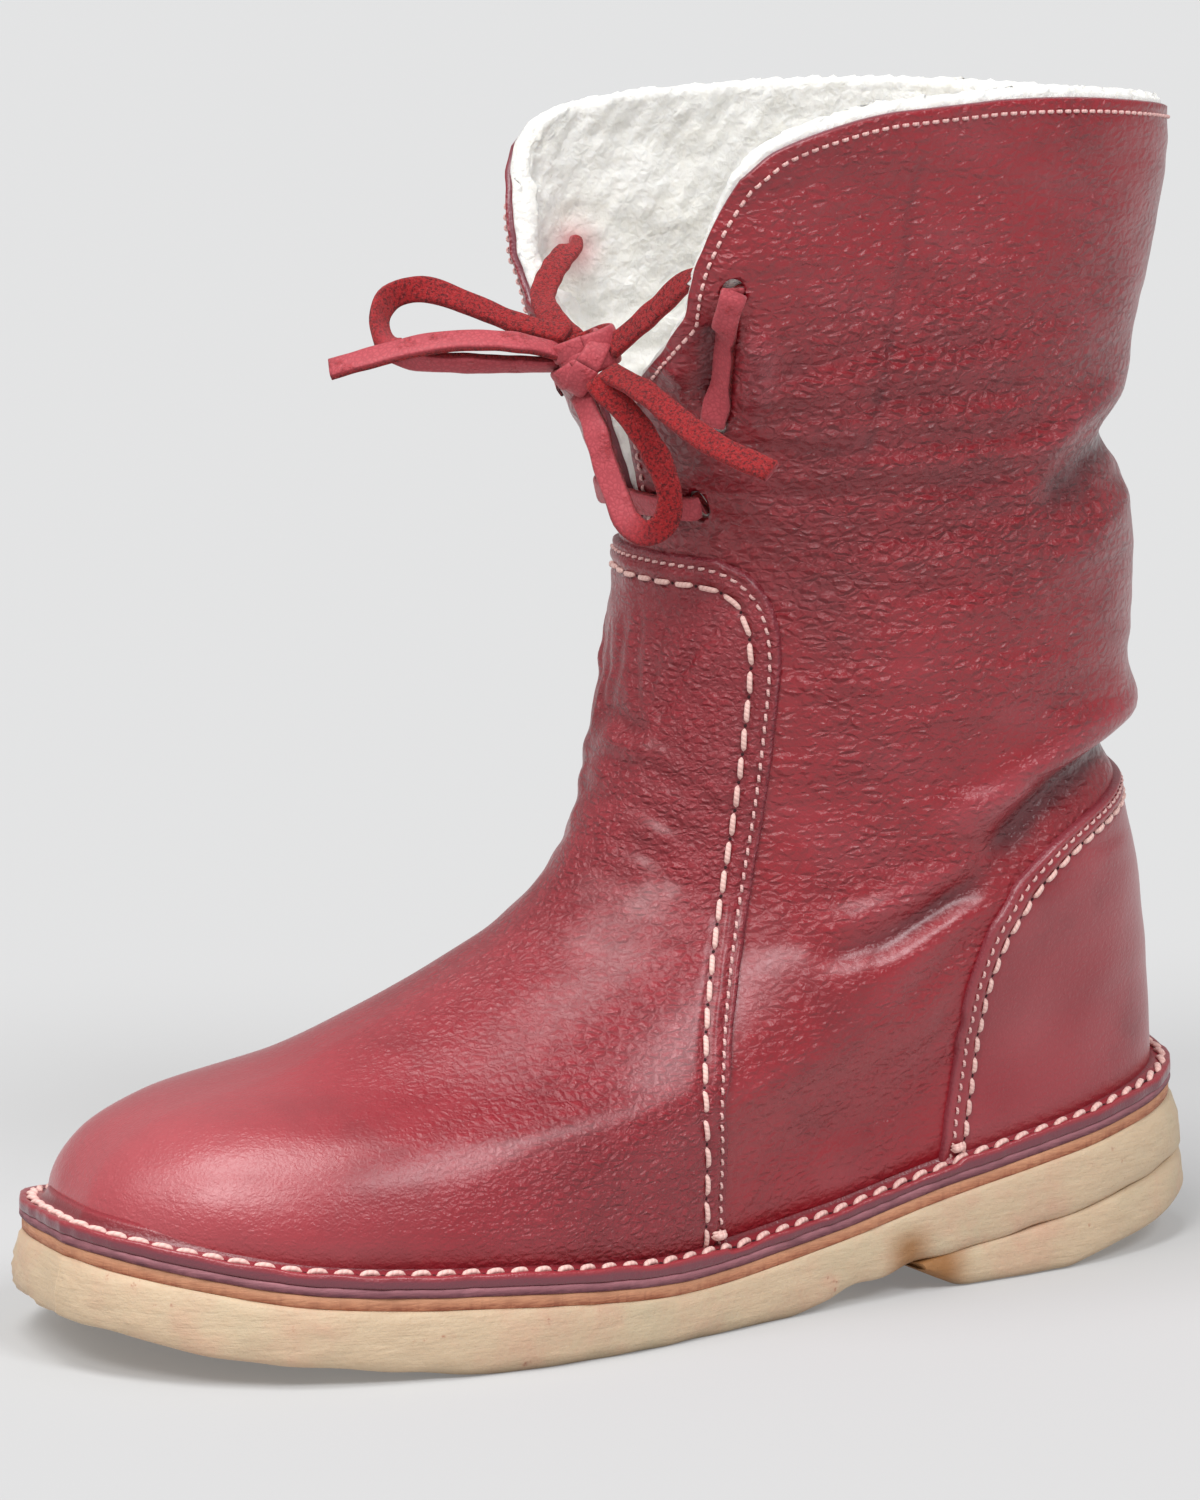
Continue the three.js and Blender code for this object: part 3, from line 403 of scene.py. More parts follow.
def read_grid(values, turn, rise):
    """A value of the fine grid between its points; past 1 the turn goes on round the back"""
    turn, rise = np.broadcast_arrays(np.asarray(turn, float), np.asarray(rise, float))
    turn = (turn + 1) % 2 - 1
    x = (turn + 1) * TURN_COUNT
    y = np.interp(rise, RISES, np.arange(RISE_COUNT))
    i = np.clip(x.astype(int), 0, 2 * TURN_COUNT - 1)
    j = np.clip(y.astype(int), 0, RISE_COUNT - 2)
    s, t = x - i, y - j
    if values.ndim == 3:
        s, t = s[..., None], t[..., None]
    low = lerp(values[j, i], values[j, i + 1], s)
    return lerp(low, lerp(values[j + 1, i], values[j + 1, i + 1], s), t)


def flat_place(turn, rise):
    """Signed distance from the front centre, the same from the back centre, and height, in millimetres"""
    turn = (np.asarray(turn, float) + 1) % 2 - 1
    total = half_length(turn, rise)
    return turn * total, np.where(turn >= 0, 1, -1) * (1 - np.abs(turn)) * total, rise * COLLAR_HEIGHT


def distance_to(line, u, v):
    """Distance of each place from a line of points on the flat, and how far along the line it lies, 0 to 1"""
    line = np.asarray(line, float)
    lengths = lengths_down(line)
    best = np.full(np.shape(u), 1e9)
    along = np.zeros(np.shape(u))
    for k, (a, b) in enumerate(zip(line[:-1], line[1:])):
        d = b - a
        t = np.clip(((u - a[0]) * d[0] + (v - a[1]) * d[1]) / max(d @ d, 1e-9), 0, 1)
        away = np.hypot(u - a[0] - t * d[0], v - a[1] - t * d[1])
        nearer = away < best
        best = np.where(nearer, away, best)
        along = np.where(nearer, (lengths[k] + t * (lengths[k + 1] - lengths[k])) / lengths[-1], along)
    return best, along


# A fine vein down the shaft's outer side, its shallow trough painted darker as shade, by distance from the
# front centre and height
VEIN = [(94, 244), (89, 225.5), (83, 214), (71, 198), (60, 183.5)]
# Folds of the leather, each a line of places on the flat: distance from the front or the back centre and
# height, both in millimetres, on the outer side; depth is a trough where it is below 0
FOLDS = [
    ("back", -2.2, 5.0, [(0, 186), (28, 184.5), (47, 181), (62, 175), (73, 167.5)]),
    ("back", 1.1, 6.0, [(6, 196), (30, 195), (52, 190), (72, 180)]),
    ("back", -1.0, 3.0, [(20, 176), (29, 175), (52, 171.5), (62, 165)]),
    ("back", -0.7, 2.2, [(38, 190), (52, 186), (64, 181)]),
    ("back", -2.6, 5.0, [(0, 114), (32, 111.5), (50, 107), (62, 103), (73, 94.5), (81, 88)]),
    ("back", 2.0, 6.5, [(0, 124), (39, 119.5), (58, 114.5), (70, 107.5), (83, 103), (98, 98)]),
    ("back", -1.3, 3.2, [(73, 88), (87, 84), (103, 77.5), (116, 73.5), (128, 72.5)]),
    ("back", 0.9, 3.6, [(78, 92), (92, 88), (108, 82), (122, 78)]),
    ("back", -0.9, 2.6, [(77, 82), (90, 80.5), (104, 73.5), (115, 70)]),
    ("back", -0.6, 2.4, [(84, 72), (94, 66), (106, 61)]),
    ("back", -0.5, 2.0, [(90, 60), (95, 51), (103, 47)]),
    ("back", -0.8, 2.6, [(88, 42.5), (101, 42), (121, 43.5), (136, 46)]),
    ("back", -0.6, 2.0, [(88, 49.5), (95, 46), (110, 46.5)]),
    ("back", -0.5, 1.8, [(92, 37.5), (108, 36.5), (124, 37)]),
    ("front", -0.35, 1.5, [(94, 242), (89, 225.5), (83, 214), (71, 198), (60, 183.5)]),
    ("front", -0.6, 1.4, [(29, 157), (19, 143.5), (15, 132.5), (12, 123.5)]),
    ("front", -0.6, 1.3, [(20, 146), (13, 134.5), (12, 126)]),
    ("front", -0.5, 1.3, [(3, 152), (3, 139.5), (7, 127.5)]),
    ("front", -0.45, 1.2, [(11, 150), (9, 140), (9, 130)]),
    ("front", -0.8, 2.2, [(-8, 128), (0, 128), (9, 124.5), (22, 120), (30, 113.5)]),
    ("front", -0.8, 2.4, [(-8, 119), (0, 120.5), (12, 118.5), (25, 112.5), (34, 104.5)]),
    ("front", -0.6, 2.2, [(-6, 112), (4, 113), (14, 110), (26, 103), (33, 96)]),
    ("front", -0.45, 2.0, [(-4, 104), (8, 104), (20, 99), (30, 91)]),
    ("front", 0.6, 3.0, [(0, 124), (12, 121.5), (24, 116.5), (33, 109)]),
    ("front", -0.8, 2.2, [(42, 203.5), (56, 206), (76, 208.5), (96, 207.5), (119, 209.5)]),
    ("front", -0.85, 2.2, [(39, 195.5), (57, 197), (76, 198.5), (96, 198), (120, 198.5)]),
    ("front", -0.85, 2.2, [(42, 187.5), (59, 188), (79, 189), (99, 189), (122, 189)]),
    ("front", -0.75, 2.2, [(36, 177.5), (53, 177.5), (71, 178.5), (92, 179.5), (114, 181)]),
    ("front", -0.65, 2.2, [(28, 168), (45, 167.5), (63, 168), (82, 170), (100, 172.5)]),
    ("front", -0.4, 2.6, [(40, 157), (60, 156), (84, 157), (104, 160)]),
    ("front", -0.4, 2.8, [(38, 144.5), (53, 143), (75, 143), (102, 142.5), (137, 141.5)]),
    ("front", -0.35, 2.8, [(46, 124.5), (63, 122.5), (82, 123), (103, 125)]),
    ("front", -4.6, 4.2, [(42, 218), (40, 211), (36, 203), (32, 197)]),
    ("front", 1.6, 3.4, [(52, 218), (48, 208), (43, 198)]),
]
MEDIAL_DEPTH = 0.8
MEDIAL_SHIFT = 3.0


def fold_relief(front, back, height):
    relief = np.zeros(np.shape(height))
    for side, deep, shift in ((OUTER, 1, 0), (INNER, MEDIAL_DEPTH, MEDIAL_SHIFT)):
        for base, depth, width, line in FOLDS:
            line = np.asarray(line, float) - (0, shift)
            place = side * (front if base == "front" else back)
            span = 4 * width
            near = (place > line[:, 0].min() - span) & (place < line[:, 0].max() + span)
            near &= (height > line[:, 1].min() - span) & (height < line[:, 1].max() + span)
            if not near.any():
                continue
            away, along = distance_to(line, place[near], height[near])
            starts_at_middle = line[0, 0] <= 0
            fade = ease(5 * (1 - along)) * (1 if starts_at_middle else ease(5 * along))
            trough = np.exp(-(away / width) ** 2)
            shoulder = 0.35 * np.exp(-((away - 2 * width) / width) ** 2)
            relief[near] += deep * depth * fade * (trough - shoulder)
    return relief


def broad_relief(front, height):
    """Slack of the soft shaft: broad low swells that fade out towards the stiff toe and heel"""
    slack = ease((height - 60) / 60)
    return slack * (0.5 * waves(front, 1.5 * height, 46, 3) + 0.22 * waves(front, 2.2 * height, 17, 5))


GRID_TURN = np.linspace(-1, 1, 2 * TURN_COUNT + 1)[None, :] + np.zeros((RISE_COUNT, 1))
GRID_RISE = RISES[:, None] + np.zeros((1, 2 * TURN_COUNT + 1))
grid_front, grid_back, grid_height = flat_place(np.clip(GRID_TURN, -1, 0.999999), GRID_RISE)
FOLD_RELIEF = fold_relief(grid_front, grid_back, grid_height)
FOLD_RELIEF[:, -1] = FOLD_RELIEF[:, 0]
BROAD_RELIEF = broad_relief(np.abs(grid_front) - 0.4 * grid_front, grid_height)
back_blend = ease((np.abs(GRID_TURN) - 0.75) / 0.2)
BROAD_RELIEF = BROAD_RELIEF * (1 - back_blend)
RELIEF = FOLD_RELIEF + BROAD_RELIEF


def place(turn, rise, out=0.0):
    """Point of the leather's outside, moved out by a distance"""
    out = np.asarray(out, float) + read_grid(RELIEF, turn, rise)
    point = read_grid(FORM, turn, rise) + unit(read_grid(FORM_NORMAL, turn, rise)) * out[..., None]
    point[..., 2] += np.maximum(rise - 1, 0) * COLLAR_HEIGHT
    return point


def facing(turn, rise):
    """Normal of the leather, its folds included"""
    step = 0.004
    across = place(np.asarray(turn) + step, rise) - place(np.asarray(turn) - step, rise)
    up = place(turn, np.minimum(rise + step, 1)) - place(turn, np.maximum(rise - step, FEATHER_RISE))
    return unit(np.cross(across, up))


# Colours and shader nodes
def srgb(red, green, blue):
    """A colour read, 0 to 255, as linear values"""
    return tuple((c / 255 / 12.92 if c <= 10 else ((c / 255 + 0.055) / 1.055) ** 2.4)
                 for c in (red, green, blue)) + (1,)


class Nodes:
    """Lays out the nodes of a material or a group"""

    def __init__(self, tree):
        self.tree = tree

    def add(self, kind, inputs=None, **settings):
        node = self.tree.nodes.new(kind)
        for key, value in settings.items():
            setattr(node, key, value)
        for key, value in (inputs or {}).items():
            if isinstance(value, bpy.types.NodeSocket):
                self.tree.links.new(value, node.inputs[key])
            else:
                node.inputs[key].default_value = value
        return node

    def math(self, operation, a, b=0.0):
        return self.add("ShaderNodeMath", {0: a, 1: b}, operation=operation).outputs[0]

    def times(self, a, b):
        return self.math("MULTIPLY", a, b)

    def plus(self, a, b):
        return self.math("ADD", a, b)

    def mix(self, factor, a, b):
        return self.add("ShaderNodeMix", {0: factor, 6: a, 7: b}, data_type="RGBA").outputs[2]

    def fit(self, value, low, high, to_low=0.0, to_high=1.0):
        values = {0: value, 1: low, 2: high, 3: to_low, 4: to_high}
        return self.add("ShaderNodeMapRange", values, interpolation_type="SMOOTHSTEP").outputs[0]

    def noise(self, vector, scale, detail=3.0, roughness=0.55):
        values = {"Vector": vector, "Scale": scale, "Detail": detail, "Roughness": roughness}
        return self.add("ShaderNodeTexNoise", values).outputs[0]

    def stretch(self, vector, scale):
        return self.add("ShaderNodeVectorMath", {0: vector, 1: scale}, operation="MULTIPLY").outputs[0]

    def painted(self, name):
        return self.add("ShaderNodeAttribute", attribute_name=name).outputs["Fac"]

    def where(self):
        return self.add("ShaderNodeTexCoord").outputs["Object"]

    def pebbles(self, where, size, stretch=1.0):
        values = {"Vector": where, "Size": size, "Stretch": stretch}
        return self.add("ShaderNodeGroup", values, node_tree=PEBBLES).outputs

    def patch(self, where, size, spread):
        values = {"Vector": where, "Size": size, "Spread": spread}
        return self.add("ShaderNodeGroup", values, node_tree=PATCHES).outputs["Patch"]


def new_group(name, inputs, outputs):
    """A shader node group with named sockets; the inputs' defaults are given"""
    tree = bpy.data.node_groups.new(name, "ShaderNodeTree")
    for key, value in inputs.items():
        kind = "NodeSocketVector" if value is None else "NodeSocketFloat"
        socket = tree.interface.new_socket(key, in_out="INPUT", socket_type=kind)
        if value is not None:
            socket.default_value = value
    for key in outputs:
        tree.interface.new_socket(key, in_out="OUTPUT", socket_type="NodeSocketFloat")
    nodes = Nodes(tree)
    return tree, nodes, nodes.add("NodeGroupInput").outputs, nodes.add("NodeGroupOutput")


def pebble_group():
    """Pebbled grain of hide: domed cells with rounded valleys, stretched sideways on a shaft"""
    tree, nodes, given, result = new_group(
        "pebbled_grain", {"Vector": None, "Size": 0.0025, "Stretch": 1.0}, ["Height", "Valley"])
    each = nodes.math("DIVIDE", 1.0, given["Size"])
    tall = nodes.times(each, given["Stretch"])
    scale = nodes.add("ShaderNodeCombineXYZ", {0: each, 1: each, 2: tall}).outputs[0]
    cells = nodes.stretch(given["Vector"], scale)
    wander = nodes.add("ShaderNodeTexNoise", {"Vector": cells, "Scale": 0.6, "Detail": 2.0}).outputs["Color"]
    push = nodes.add("ShaderNodeVectorMath", {0: wander, 1: (1.1, 1.1, 1.1)}, operation="MULTIPLY").outputs[0]
    moved = nodes.add("ShaderNodeVectorMath", {0: cells, 1: push}, operation="ADD").outputs[0]
    edge = nodes.add("ShaderNodeTexVoronoi", {"Vector": moved, "Scale": 1.0, "Randomness": 0.85},
                     feature="DISTANCE_TO_EDGE").outputs["Distance"]
    dome = nodes.add("ShaderNodeMapRange", {0: edge, 1: -0.04, 2: 0.5}, interpolation_type="SMOOTHSTEP")
    nodes.tree.links.new(dome.outputs[0], result.inputs["Height"])
    nodes.tree.links.new(nodes.fit(edge, 0.0, 0.26, 1.0, 0.0), result.inputs["Valley"])
    return tree


def mottle_group():
    """Uneven dye or dirt: large soft patches broken up by small ones, about 0 in most places"""
    tree, nodes, given, result = new_group(
        "uneven_patches", {"Vector": None, "Size": 0.03, "Spread": 0.5}, ["Patch"])
    each = nodes.math("DIVIDE", 1.0, given["Size"])
    large = nodes.noise(given["Vector"], each, 4.0, 0.6)
    small = nodes.noise(given["Vector"], nodes.times(each, 5.0), 3.0, 0.6)
    both = nodes.plus(nodes.times(large, 0.75), nodes.times(small, 0.25))
    low = nodes.math("SUBTRACT", 0.72, nodes.times(given["Spread"], 0.3))
    patch = nodes.add("ShaderNodeMapRange", {0: both, 1: low, 2: 0.72}, interpolation_type="SMOOTHSTEP")
    nodes.tree.links.new(patch.outputs[0], result.inputs["Patch"])
    return tree


PEBBLES = pebble_group()
PATCHES = mottle_group()


def new_material(name):
    material = bpy.data.materials.new(name)
    material.use_nodes = True
    material.node_tree.nodes.clear()
    return material, Nodes(material.node_tree)


def finish(nodes, color, roughness, height, **plain):
    """The surface shader: colour, roughness and height in metres vary, the plain values are constant"""
    values = {"Base Color": color, "Roughness": roughness}
    if height is not None:
        bump = nodes.add("ShaderNodeBump", {"Strength": 1.0, "Distance": 1.0, "Height": height})
        values["Normal"] = bump.outputs[0]
    values.update({key.replace("_", " "): value for key, value in plain.items()})
    shader = nodes.add("ShaderNodeBsdfPrincipled", values)
    nodes.add("ShaderNodeOutputMaterial", {0: shader.outputs[0]})


RED_DEEP = srgb(98, 9, 20)
# Painted shade: the dark red laid into fold troughs, seam rows and the flange's joint
SHADE_RED = srgb(78, 14, 24)
CUT_RED = srgb(116, 50, 62)


def leather_material(name, pebbles, wrinkles, coat, base, deep, pale):
    """Full-grain hide; pebbles are size, stretch and depth, wrinkles scale and depth, depths in millimetres.
    Painted on it: grain, how pebbled; crease, painted shade in fold troughs, along seam rows and down the
    vein; edge, the cut edge; worn, the paler bends"""
    pebble_size, stretch, pebble_depth = pebbles
    wrinkle_scale, wrinkle_depth = wrinkles
    material, nodes = new_material(name)
    where = nodes.where()
    grain, crease = nodes.painted("grain"), nodes.painted("crease")
    edge, worn = nodes.painted("edge"), nodes.painted("worn")
    large = nodes.pebbles(where, pebble_size * MM, stretch)
    small = nodes.pebbles(where, 0.4 * pebble_size * MM, 1.1)
    wander = nodes.noise(nodes.stretch(where, wrinkle_scale), 1.0, 1.0, 0.4)
    wrinkle = nodes.fit(nodes.math("ABSOLUTE", nodes.math("SUBTRACT", wander, 0.5)), 0.0, 0.13)
    patch = nodes.patch(where, 0.03, 0.9)
    scuff = nodes.patch(where, 0.006, 0.35)
    pores = nodes.noise(where, 2600.0, 2.0)
    color = nodes.mix(nodes.times(patch, 0.45), base, deep)
    color = nodes.mix(nodes.times(worn, 0.75), color, pale)
    # Painted shade: darker red in the pebbles' valleys and the wrinkles' hollows
    valley = nodes.plus(nodes.times(large["Valley"], 0.75), nodes.times(small["Valley"], 0.25))
    valley = nodes.times(valley, grain)
    color = nodes.mix(nodes.times(valley, 0.34), color, deep)
    hollow_shade = nodes.times(nodes.math("SUBTRACT", 1.0, wrinkle), grain)
    color = nodes.mix(nodes.times(hollow_shade, 0.2), color, deep)
    # Painted shade in the troughs of the folds and along the seam rows
    color = nodes.mix(nodes.times(crease, 0.8), color, SHADE_RED)
    color = nodes.mix(nodes.times(scuff, 0.1), color, pale)
    color = nodes.mix(edge, color, CUT_RED)
    height = nodes.plus(nodes.times(large["Height"], pebble_depth * MM),
                        nodes.times(small["Height"], 0.15 * pebble_depth * MM))
    height = nodes.times(nodes.plus(height, nodes.times(wrinkle, wrinkle_depth * MM)), grain)
    height = nodes.plus(height, nodes.times(small["Height"], 0.05 * MM))
    height = nodes.plus(height, nodes.times(pores, 0.035 * MM))
    worked = nodes.plus(nodes.times(pores, 0.5), nodes.times(patch, 0.5))
    rough = nodes.plus(nodes.fit(worked, 0.2, 1.0, 0.34, 0.44), nodes.times(valley, 0.14))
    finish(nodes, color, rough, height, Specular_IOR_Level=0.5, Coat_Weight=coat, Coat_Roughness=0.28)
    return material


def thread_material(name, base, shade):
    """Waxed yarn, twisted: along is the distance down the stitch, round the share of the way about it"""
    material, nodes = new_material(name)
    along, about = nodes.painted("along"), nodes.painted("round")
    turns = nodes.plus(nodes.times(along, 1.1), about)
    twist = nodes.math("SINE", nodes.times(turns, 2 * math.pi))
    # Painted shade in the twist's grooves; the grime below darkens with the same colour
    color = nodes.mix(nodes.fit(twist, -1.0, 0.0, 0.4, 0.0), base, shade)
    grime = nodes.patch(nodes.where(), 0.012, 0.8)
    color = nodes.mix(nodes.times(grime, 0.5), color, shade)
    finish(nodes, color, 0.72, nodes.times(twist, 0.03 * MM), Sheen_Weight=0.2)
    return material


def pile_material():
    """Cream shearling: curled locks, with painted shade in the hollows between them"""
    material, nodes = new_material("shearling_pile")
    where = nodes.where()
    curls = nodes.pebbles(where, 0.0024)
    fibre = nodes.noise(where, 900.0, 6.0, 0.75)
    patch = nodes.patch(where, 0.014, 0.9)
    color = nodes.mix(nodes.times(patch, 0.4), srgb(254, 252, 246), srgb(247, 241, 227))
    # Painted shade in the curls' hollows
    color = nodes.mix(nodes.times(curls["Valley"], 0.06), color, srgb(236, 230, 212))
    color = nodes.mix(nodes.painted("dyed"), color, srgb(214, 130, 132))
    height = nodes.plus(nodes.times(curls["Height"], 0.2 * MM),
                        nodes.times(fibre, 0.45 * MM))
    finish(nodes, color, 0.95, height, Sheen_Weight=0.5, Sheen_Roughness=0.5, Subsurface_Weight=0.25,
           Subsurface_Radius=(0.004, 0.0037, 0.0032))
    return material


def crepe_material():
    """Natural crepe rubber: layered, blotched and flecked. Painted on it: amber, a darker amber at the heel's
    front
    """
    material, nodes = new_material("natural_crepe")
    where = nodes.where()
    layers = nodes.noise(nodes.stretch(where, (120.0, 120.0, 900.0)), 1.0, 3.0, 0.6)
    crumb = nodes.noise(where, 520.0, 4.0, 0.65)
    blotch = nodes.patch(where, 0.022, 0.9)
    fleck = nodes.patch(where, 0.0055, 0.3)
    stain = nodes.patch(where, 0.041, 0.8)
    color = nodes.mix(nodes.times(layers, 0.8), srgb(212, 190, 160), srgb(194, 164, 134))
    color = nodes.mix(nodes.times(stain, 0.6), color, srgb(192, 180, 150))
    color = nodes.mix(nodes.times(blotch, 0.6), color, srgb(206, 158, 134))
    color = nodes.mix(nodes.times(fleck, 0.75), color, srgb(160, 92, 72))
    color = nodes.mix(nodes.painted("amber"), color, srgb(150, 98, 46))
    color = nodes.mix(nodes.painted("grime"), color, srgb(120, 100, 74))
    height = nodes.plus(nodes.times(layers, 0.22 * MM), nodes.times(crumb, 0.3 * MM))
    finish(nodes, color, nodes.fit(crumb, 0.3, 0.7, 0.5, 0.68), height, Specular_IOR_Level=0.4,
           Subsurface_Weight=0.1, Subsurface_Radius=(0.004, 0.003, 0.002))
    return material


def edge_material(name, base, deep, pale, hatch):
    """Cut and waxed edge of leather layers; hatch is how much its upright marks show. Painted on it: lip, a
    painted highlight along the layer's top edge"""
    material, nodes = new_material(name)
    where = nodes.where()
    fibres = nodes.noise(nodes.stretch(where, (300.0, 300.0, 2200.0)), 1.0, 4.0, 0.65)
    patch = nodes.patch(where, 0.009, 0.9)
    marks = nodes.fit(nodes.noise(nodes.stretch(where, (640.0, 640.0, 90.0)), 1.0, 2.0), 0.52, 0.68)
    color = nodes.mix(nodes.fit(fibres, 0.3, 0.7), base, deep)
    color = nodes.mix(nodes.times(marks, hatch), color, deep)
    color = nodes.mix(nodes.times(patch, 0.45), color, pale)
    # Painted highlight along the lip
    color = nodes.mix(nodes.painted("lip"), color, pale)
    finish(nodes, color, nodes.fit(fibres, 0.3, 0.7, 0.5, 0.75), nodes.times(fibres, 0.25 * MM))
    return material


def lace_material():
    """Cut thong of hide: one face smooth, the other suede. Painted on it: suede"""
    material, nodes = new_material("lace_thong")
    where = nodes.where()
    suede = nodes.painted("suede")
    nap = nodes.noise(where, 1100.0, 6.0, 0.8)
    fleck = nodes.fit(nodes.noise(where, 1500.0, 4.0, 0.75), 0.44, 0.62)
    fuzz = nodes.fit(nodes.noise(where, 2100.0, 4.0, 0.75), 0.56, 0.68)
    skin = nodes.pebbles(where, 0.0011)
    # Painted shade in the smooth side's grain valleys
    smooth_side = nodes.mix(nodes.times(skin["Valley"], 0.35), srgb(184, 76, 84), srgb(126, 40, 50))
    rough_side = nodes.mix(nodes.times(fleck, 0.9), srgb(186, 34, 38), srgb(78, 8, 14))
    rough_side = nodes.mix(nodes.times(fuzz, 0.5), rough_side, srgb(206, 96, 98))
    rubbed = nodes.patch(where, 0.005, 0.7)
    shown = nodes.math("MAXIMUM", suede, nodes.times(rubbed, 0.6))
    color = nodes.mix(shown, smooth_side, rough_side)
    height = nodes.plus(nodes.times(nodes.times(nap, shown), 1.0 * MM),
                        nodes.times(skin["Height"], 0.05 * MM))
    finish(nodes, color, nodes.fit(suede, 0.0, 1.0, 0.48, 0.92), height, Sheen_Weight=0.1,
           Specular_IOR_Level=0.3)
    return material


def plain_material(name, color, roughness):
    material, nodes = new_material(name)
    finish(nodes, color, roughness, None)
    return material


SHAFT_LEATHER = leather_material("shaft_leather", (3.6, 1.7, 0.95), ((62.0, 62.0, 190.0), 0.3), 0.6,
                                 srgb(150, 18, 33), RED_DEEP, srgb(170, 66, 76))
FOOT_LEATHER = leather_material("foot_leather", (2.5, 1.5, 0.5), ((105.0, 105.0, 270.0), 0.12), 0.45,
                                srgb(148, 32, 44), RED_DEEP, srgb(190, 92, 98))
THICK_THREAD = thread_material("thick_thread", srgb(240, 198, 188), srgb(198, 142, 136))
THIN_THREAD = thread_material("thin_thread", srgb(228, 184, 178), srgb(176, 110, 108))
PILE_LOOK = pile_material()
CREPE_LOOK = crepe_material()
DARK_EDGE = edge_material("dark_edge", srgb(124, 64, 74), srgb(88, 42, 54), srgb(174, 114, 122), 0.3)
TAN_EDGE = edge_material("tan_edge", srgb(194, 124, 90), srgb(148, 78, 54), srgb(216, 160, 122), 0.7)
LACE_LOOK = lace_material()
# Painted shade: the dark blobs that stand for the insides of needle holes
HOLE_SHADE = plain_material("needle_hole_shade", srgb(48, 12, 16), 0.9)


# The upper's places: columns go round from the front by the outer side, and back by the inner side
SIDE_COLUMNS = 128
FOOT_ROWS = 112
THROAT_ROWS = 66
throat_width = smooth(THROAT, 1)
collar_edge = smooth(COLLAR_EDGE, 1)


def upper_places(side_columns, foot_rows, throat_rows, past=0.0):
    """Turn and rise of the upper's grid; past is how far it runs over the throat's and the collar's edge"""
    levels = np.concatenate([front_levels(FEATHER_RISE, THROAT_BASE, foot_rows, 0.7),
                             np.linspace(THROAT_BASE, CORNER_RISE, throat_rows + 1)[1:]])[:, None]
    column = np.arange(2 * side_columns + 1)[None, :]
    side = np.where(column <= side_columns, OUTER, INNER)
    share = np.where(column <= side_columns, column, 2 * side_columns - column) / side_columns
    climb = (collar_edge(share) + past / COLLAR_HEIGHT - THROAT_BASE) / (CORNER_RISE - THROAT_BASE)
    rise = np.where(levels <= THROAT_BASE, levels, THROAT_BASE + (levels - THROAT_BASE) * climb)
    opening = np.where(levels <= THROAT_BASE, 0, np.maximum(throat_width(levels) * HALF_BALL - past, 0))
    turn = side * lerp(opening / half_length(side * 1.0, np.minimum(rise, 1)), 1, share)
    return turn, rise, foot_rows - 1


def rim_path(rows, last, base):
    """Rows and columns up the throat's one side from a row, round the collar and down the other side"""
    return np.array([(r, 0) for r in range(base, rows)] + [(rows - 1, c) for c in range(1, last + 1)]
                    + [(r, last) for r in range(rows - 2, base, -1)])


def shell_of(outside, inside, base, bulge, steps):
    """Closed shell of two grids split at the front above a row; bulge rounds the rim between them"""
    rows, columns = outside.shape[:2]
    outer_ids = np.arange(rows * columns).reshape(rows, columns)
    outer_ids[:base + 1, -1] = outer_ids[:base + 1, 0]
    inner_ids = outer_ids + rows * columns
    points = [outside.reshape(-1, 3), inside.reshape(-1, 3)]
    faces = quads(outer_ids) + quads(inner_ids[:, ::-1])
    last = columns - 1
    faces += [[outer_ids[0, c + 1], outer_ids[0, c], inner_ids[0, c], inner_ids[0, c + 1]]
              for c in range(last)]
    path = rim_path(rows, last, base)
    rim_out, rim_in = outside[path[:, 0], path[:, 1]], inside[path[:, 0], path[:, 1]]
    along = unit(np.roll(rim_out, -1, axis=0) - np.roll(rim_out, 1, axis=0))
    outward = unit(np.cross(unit(rim_out - rim_in), along))
    before = outer_ids[path[:, 0], path[:, 1]]
    count = 2 * rows * columns
    for step in range(1, steps + 1):
        t = step / (steps + 1)
        points.append(lerp(rim_out, rim_in, t) + outward * bulge * math.sin(math.pi * t))
        ring = np.arange(count, count + len(path))
        count += len(path)
        faces += quads(np.stack([before, ring]), wrap_columns=True)
        before = ring
    faces += quads(np.stack([before, inner_ids[path[:, 0], path[:, 1]]]), wrap_columns=True)
    return np.concatenate(points), faces, len(path) * steps


def kept_only(points, faces, paint):
    """The same mesh without the points that no face uses"""
    used = np.unique(np.concatenate([np.asarray(face) for face in faces]))
    number = np.zeros(len(points), int)
    number[used] = np.arange(len(used))
    faces = [number[np.asarray(face)].tolist() for face in faces]
    return points[used], faces, {key: np.asarray(values)[used] for key, values in paint.items()}


def hide_paint(turn, rise, grain, worn):
    """Paint of a leather surface: painted shade in the troughs of its folds, and worn on their ridges"""
    relief = read_grid(FOLD_RELIEF, turn, rise)
    crease = ease((-relief - 0.25) / 2.2)
    ridge = ease((relief - 0.3) / 1.6)
    return {"grain": grain, "crease": crease, "worn": np.clip(worn + 0.6 * ridge, 0, 1)}


def hole_turn(name, side):
    """Turn and rise of a lace hole"""
    rise, outer, inner = HOLES[name]
    distance = (outer if side == OUTER else inner) * HALF_BALL
    return side * distance / float(half_length(float(side), rise)), rise


def hole_place(name, side, out=0.0):
    turn, rise = hole_turn(name, side)
    return place(turn, rise, out), facing(turn, rise)


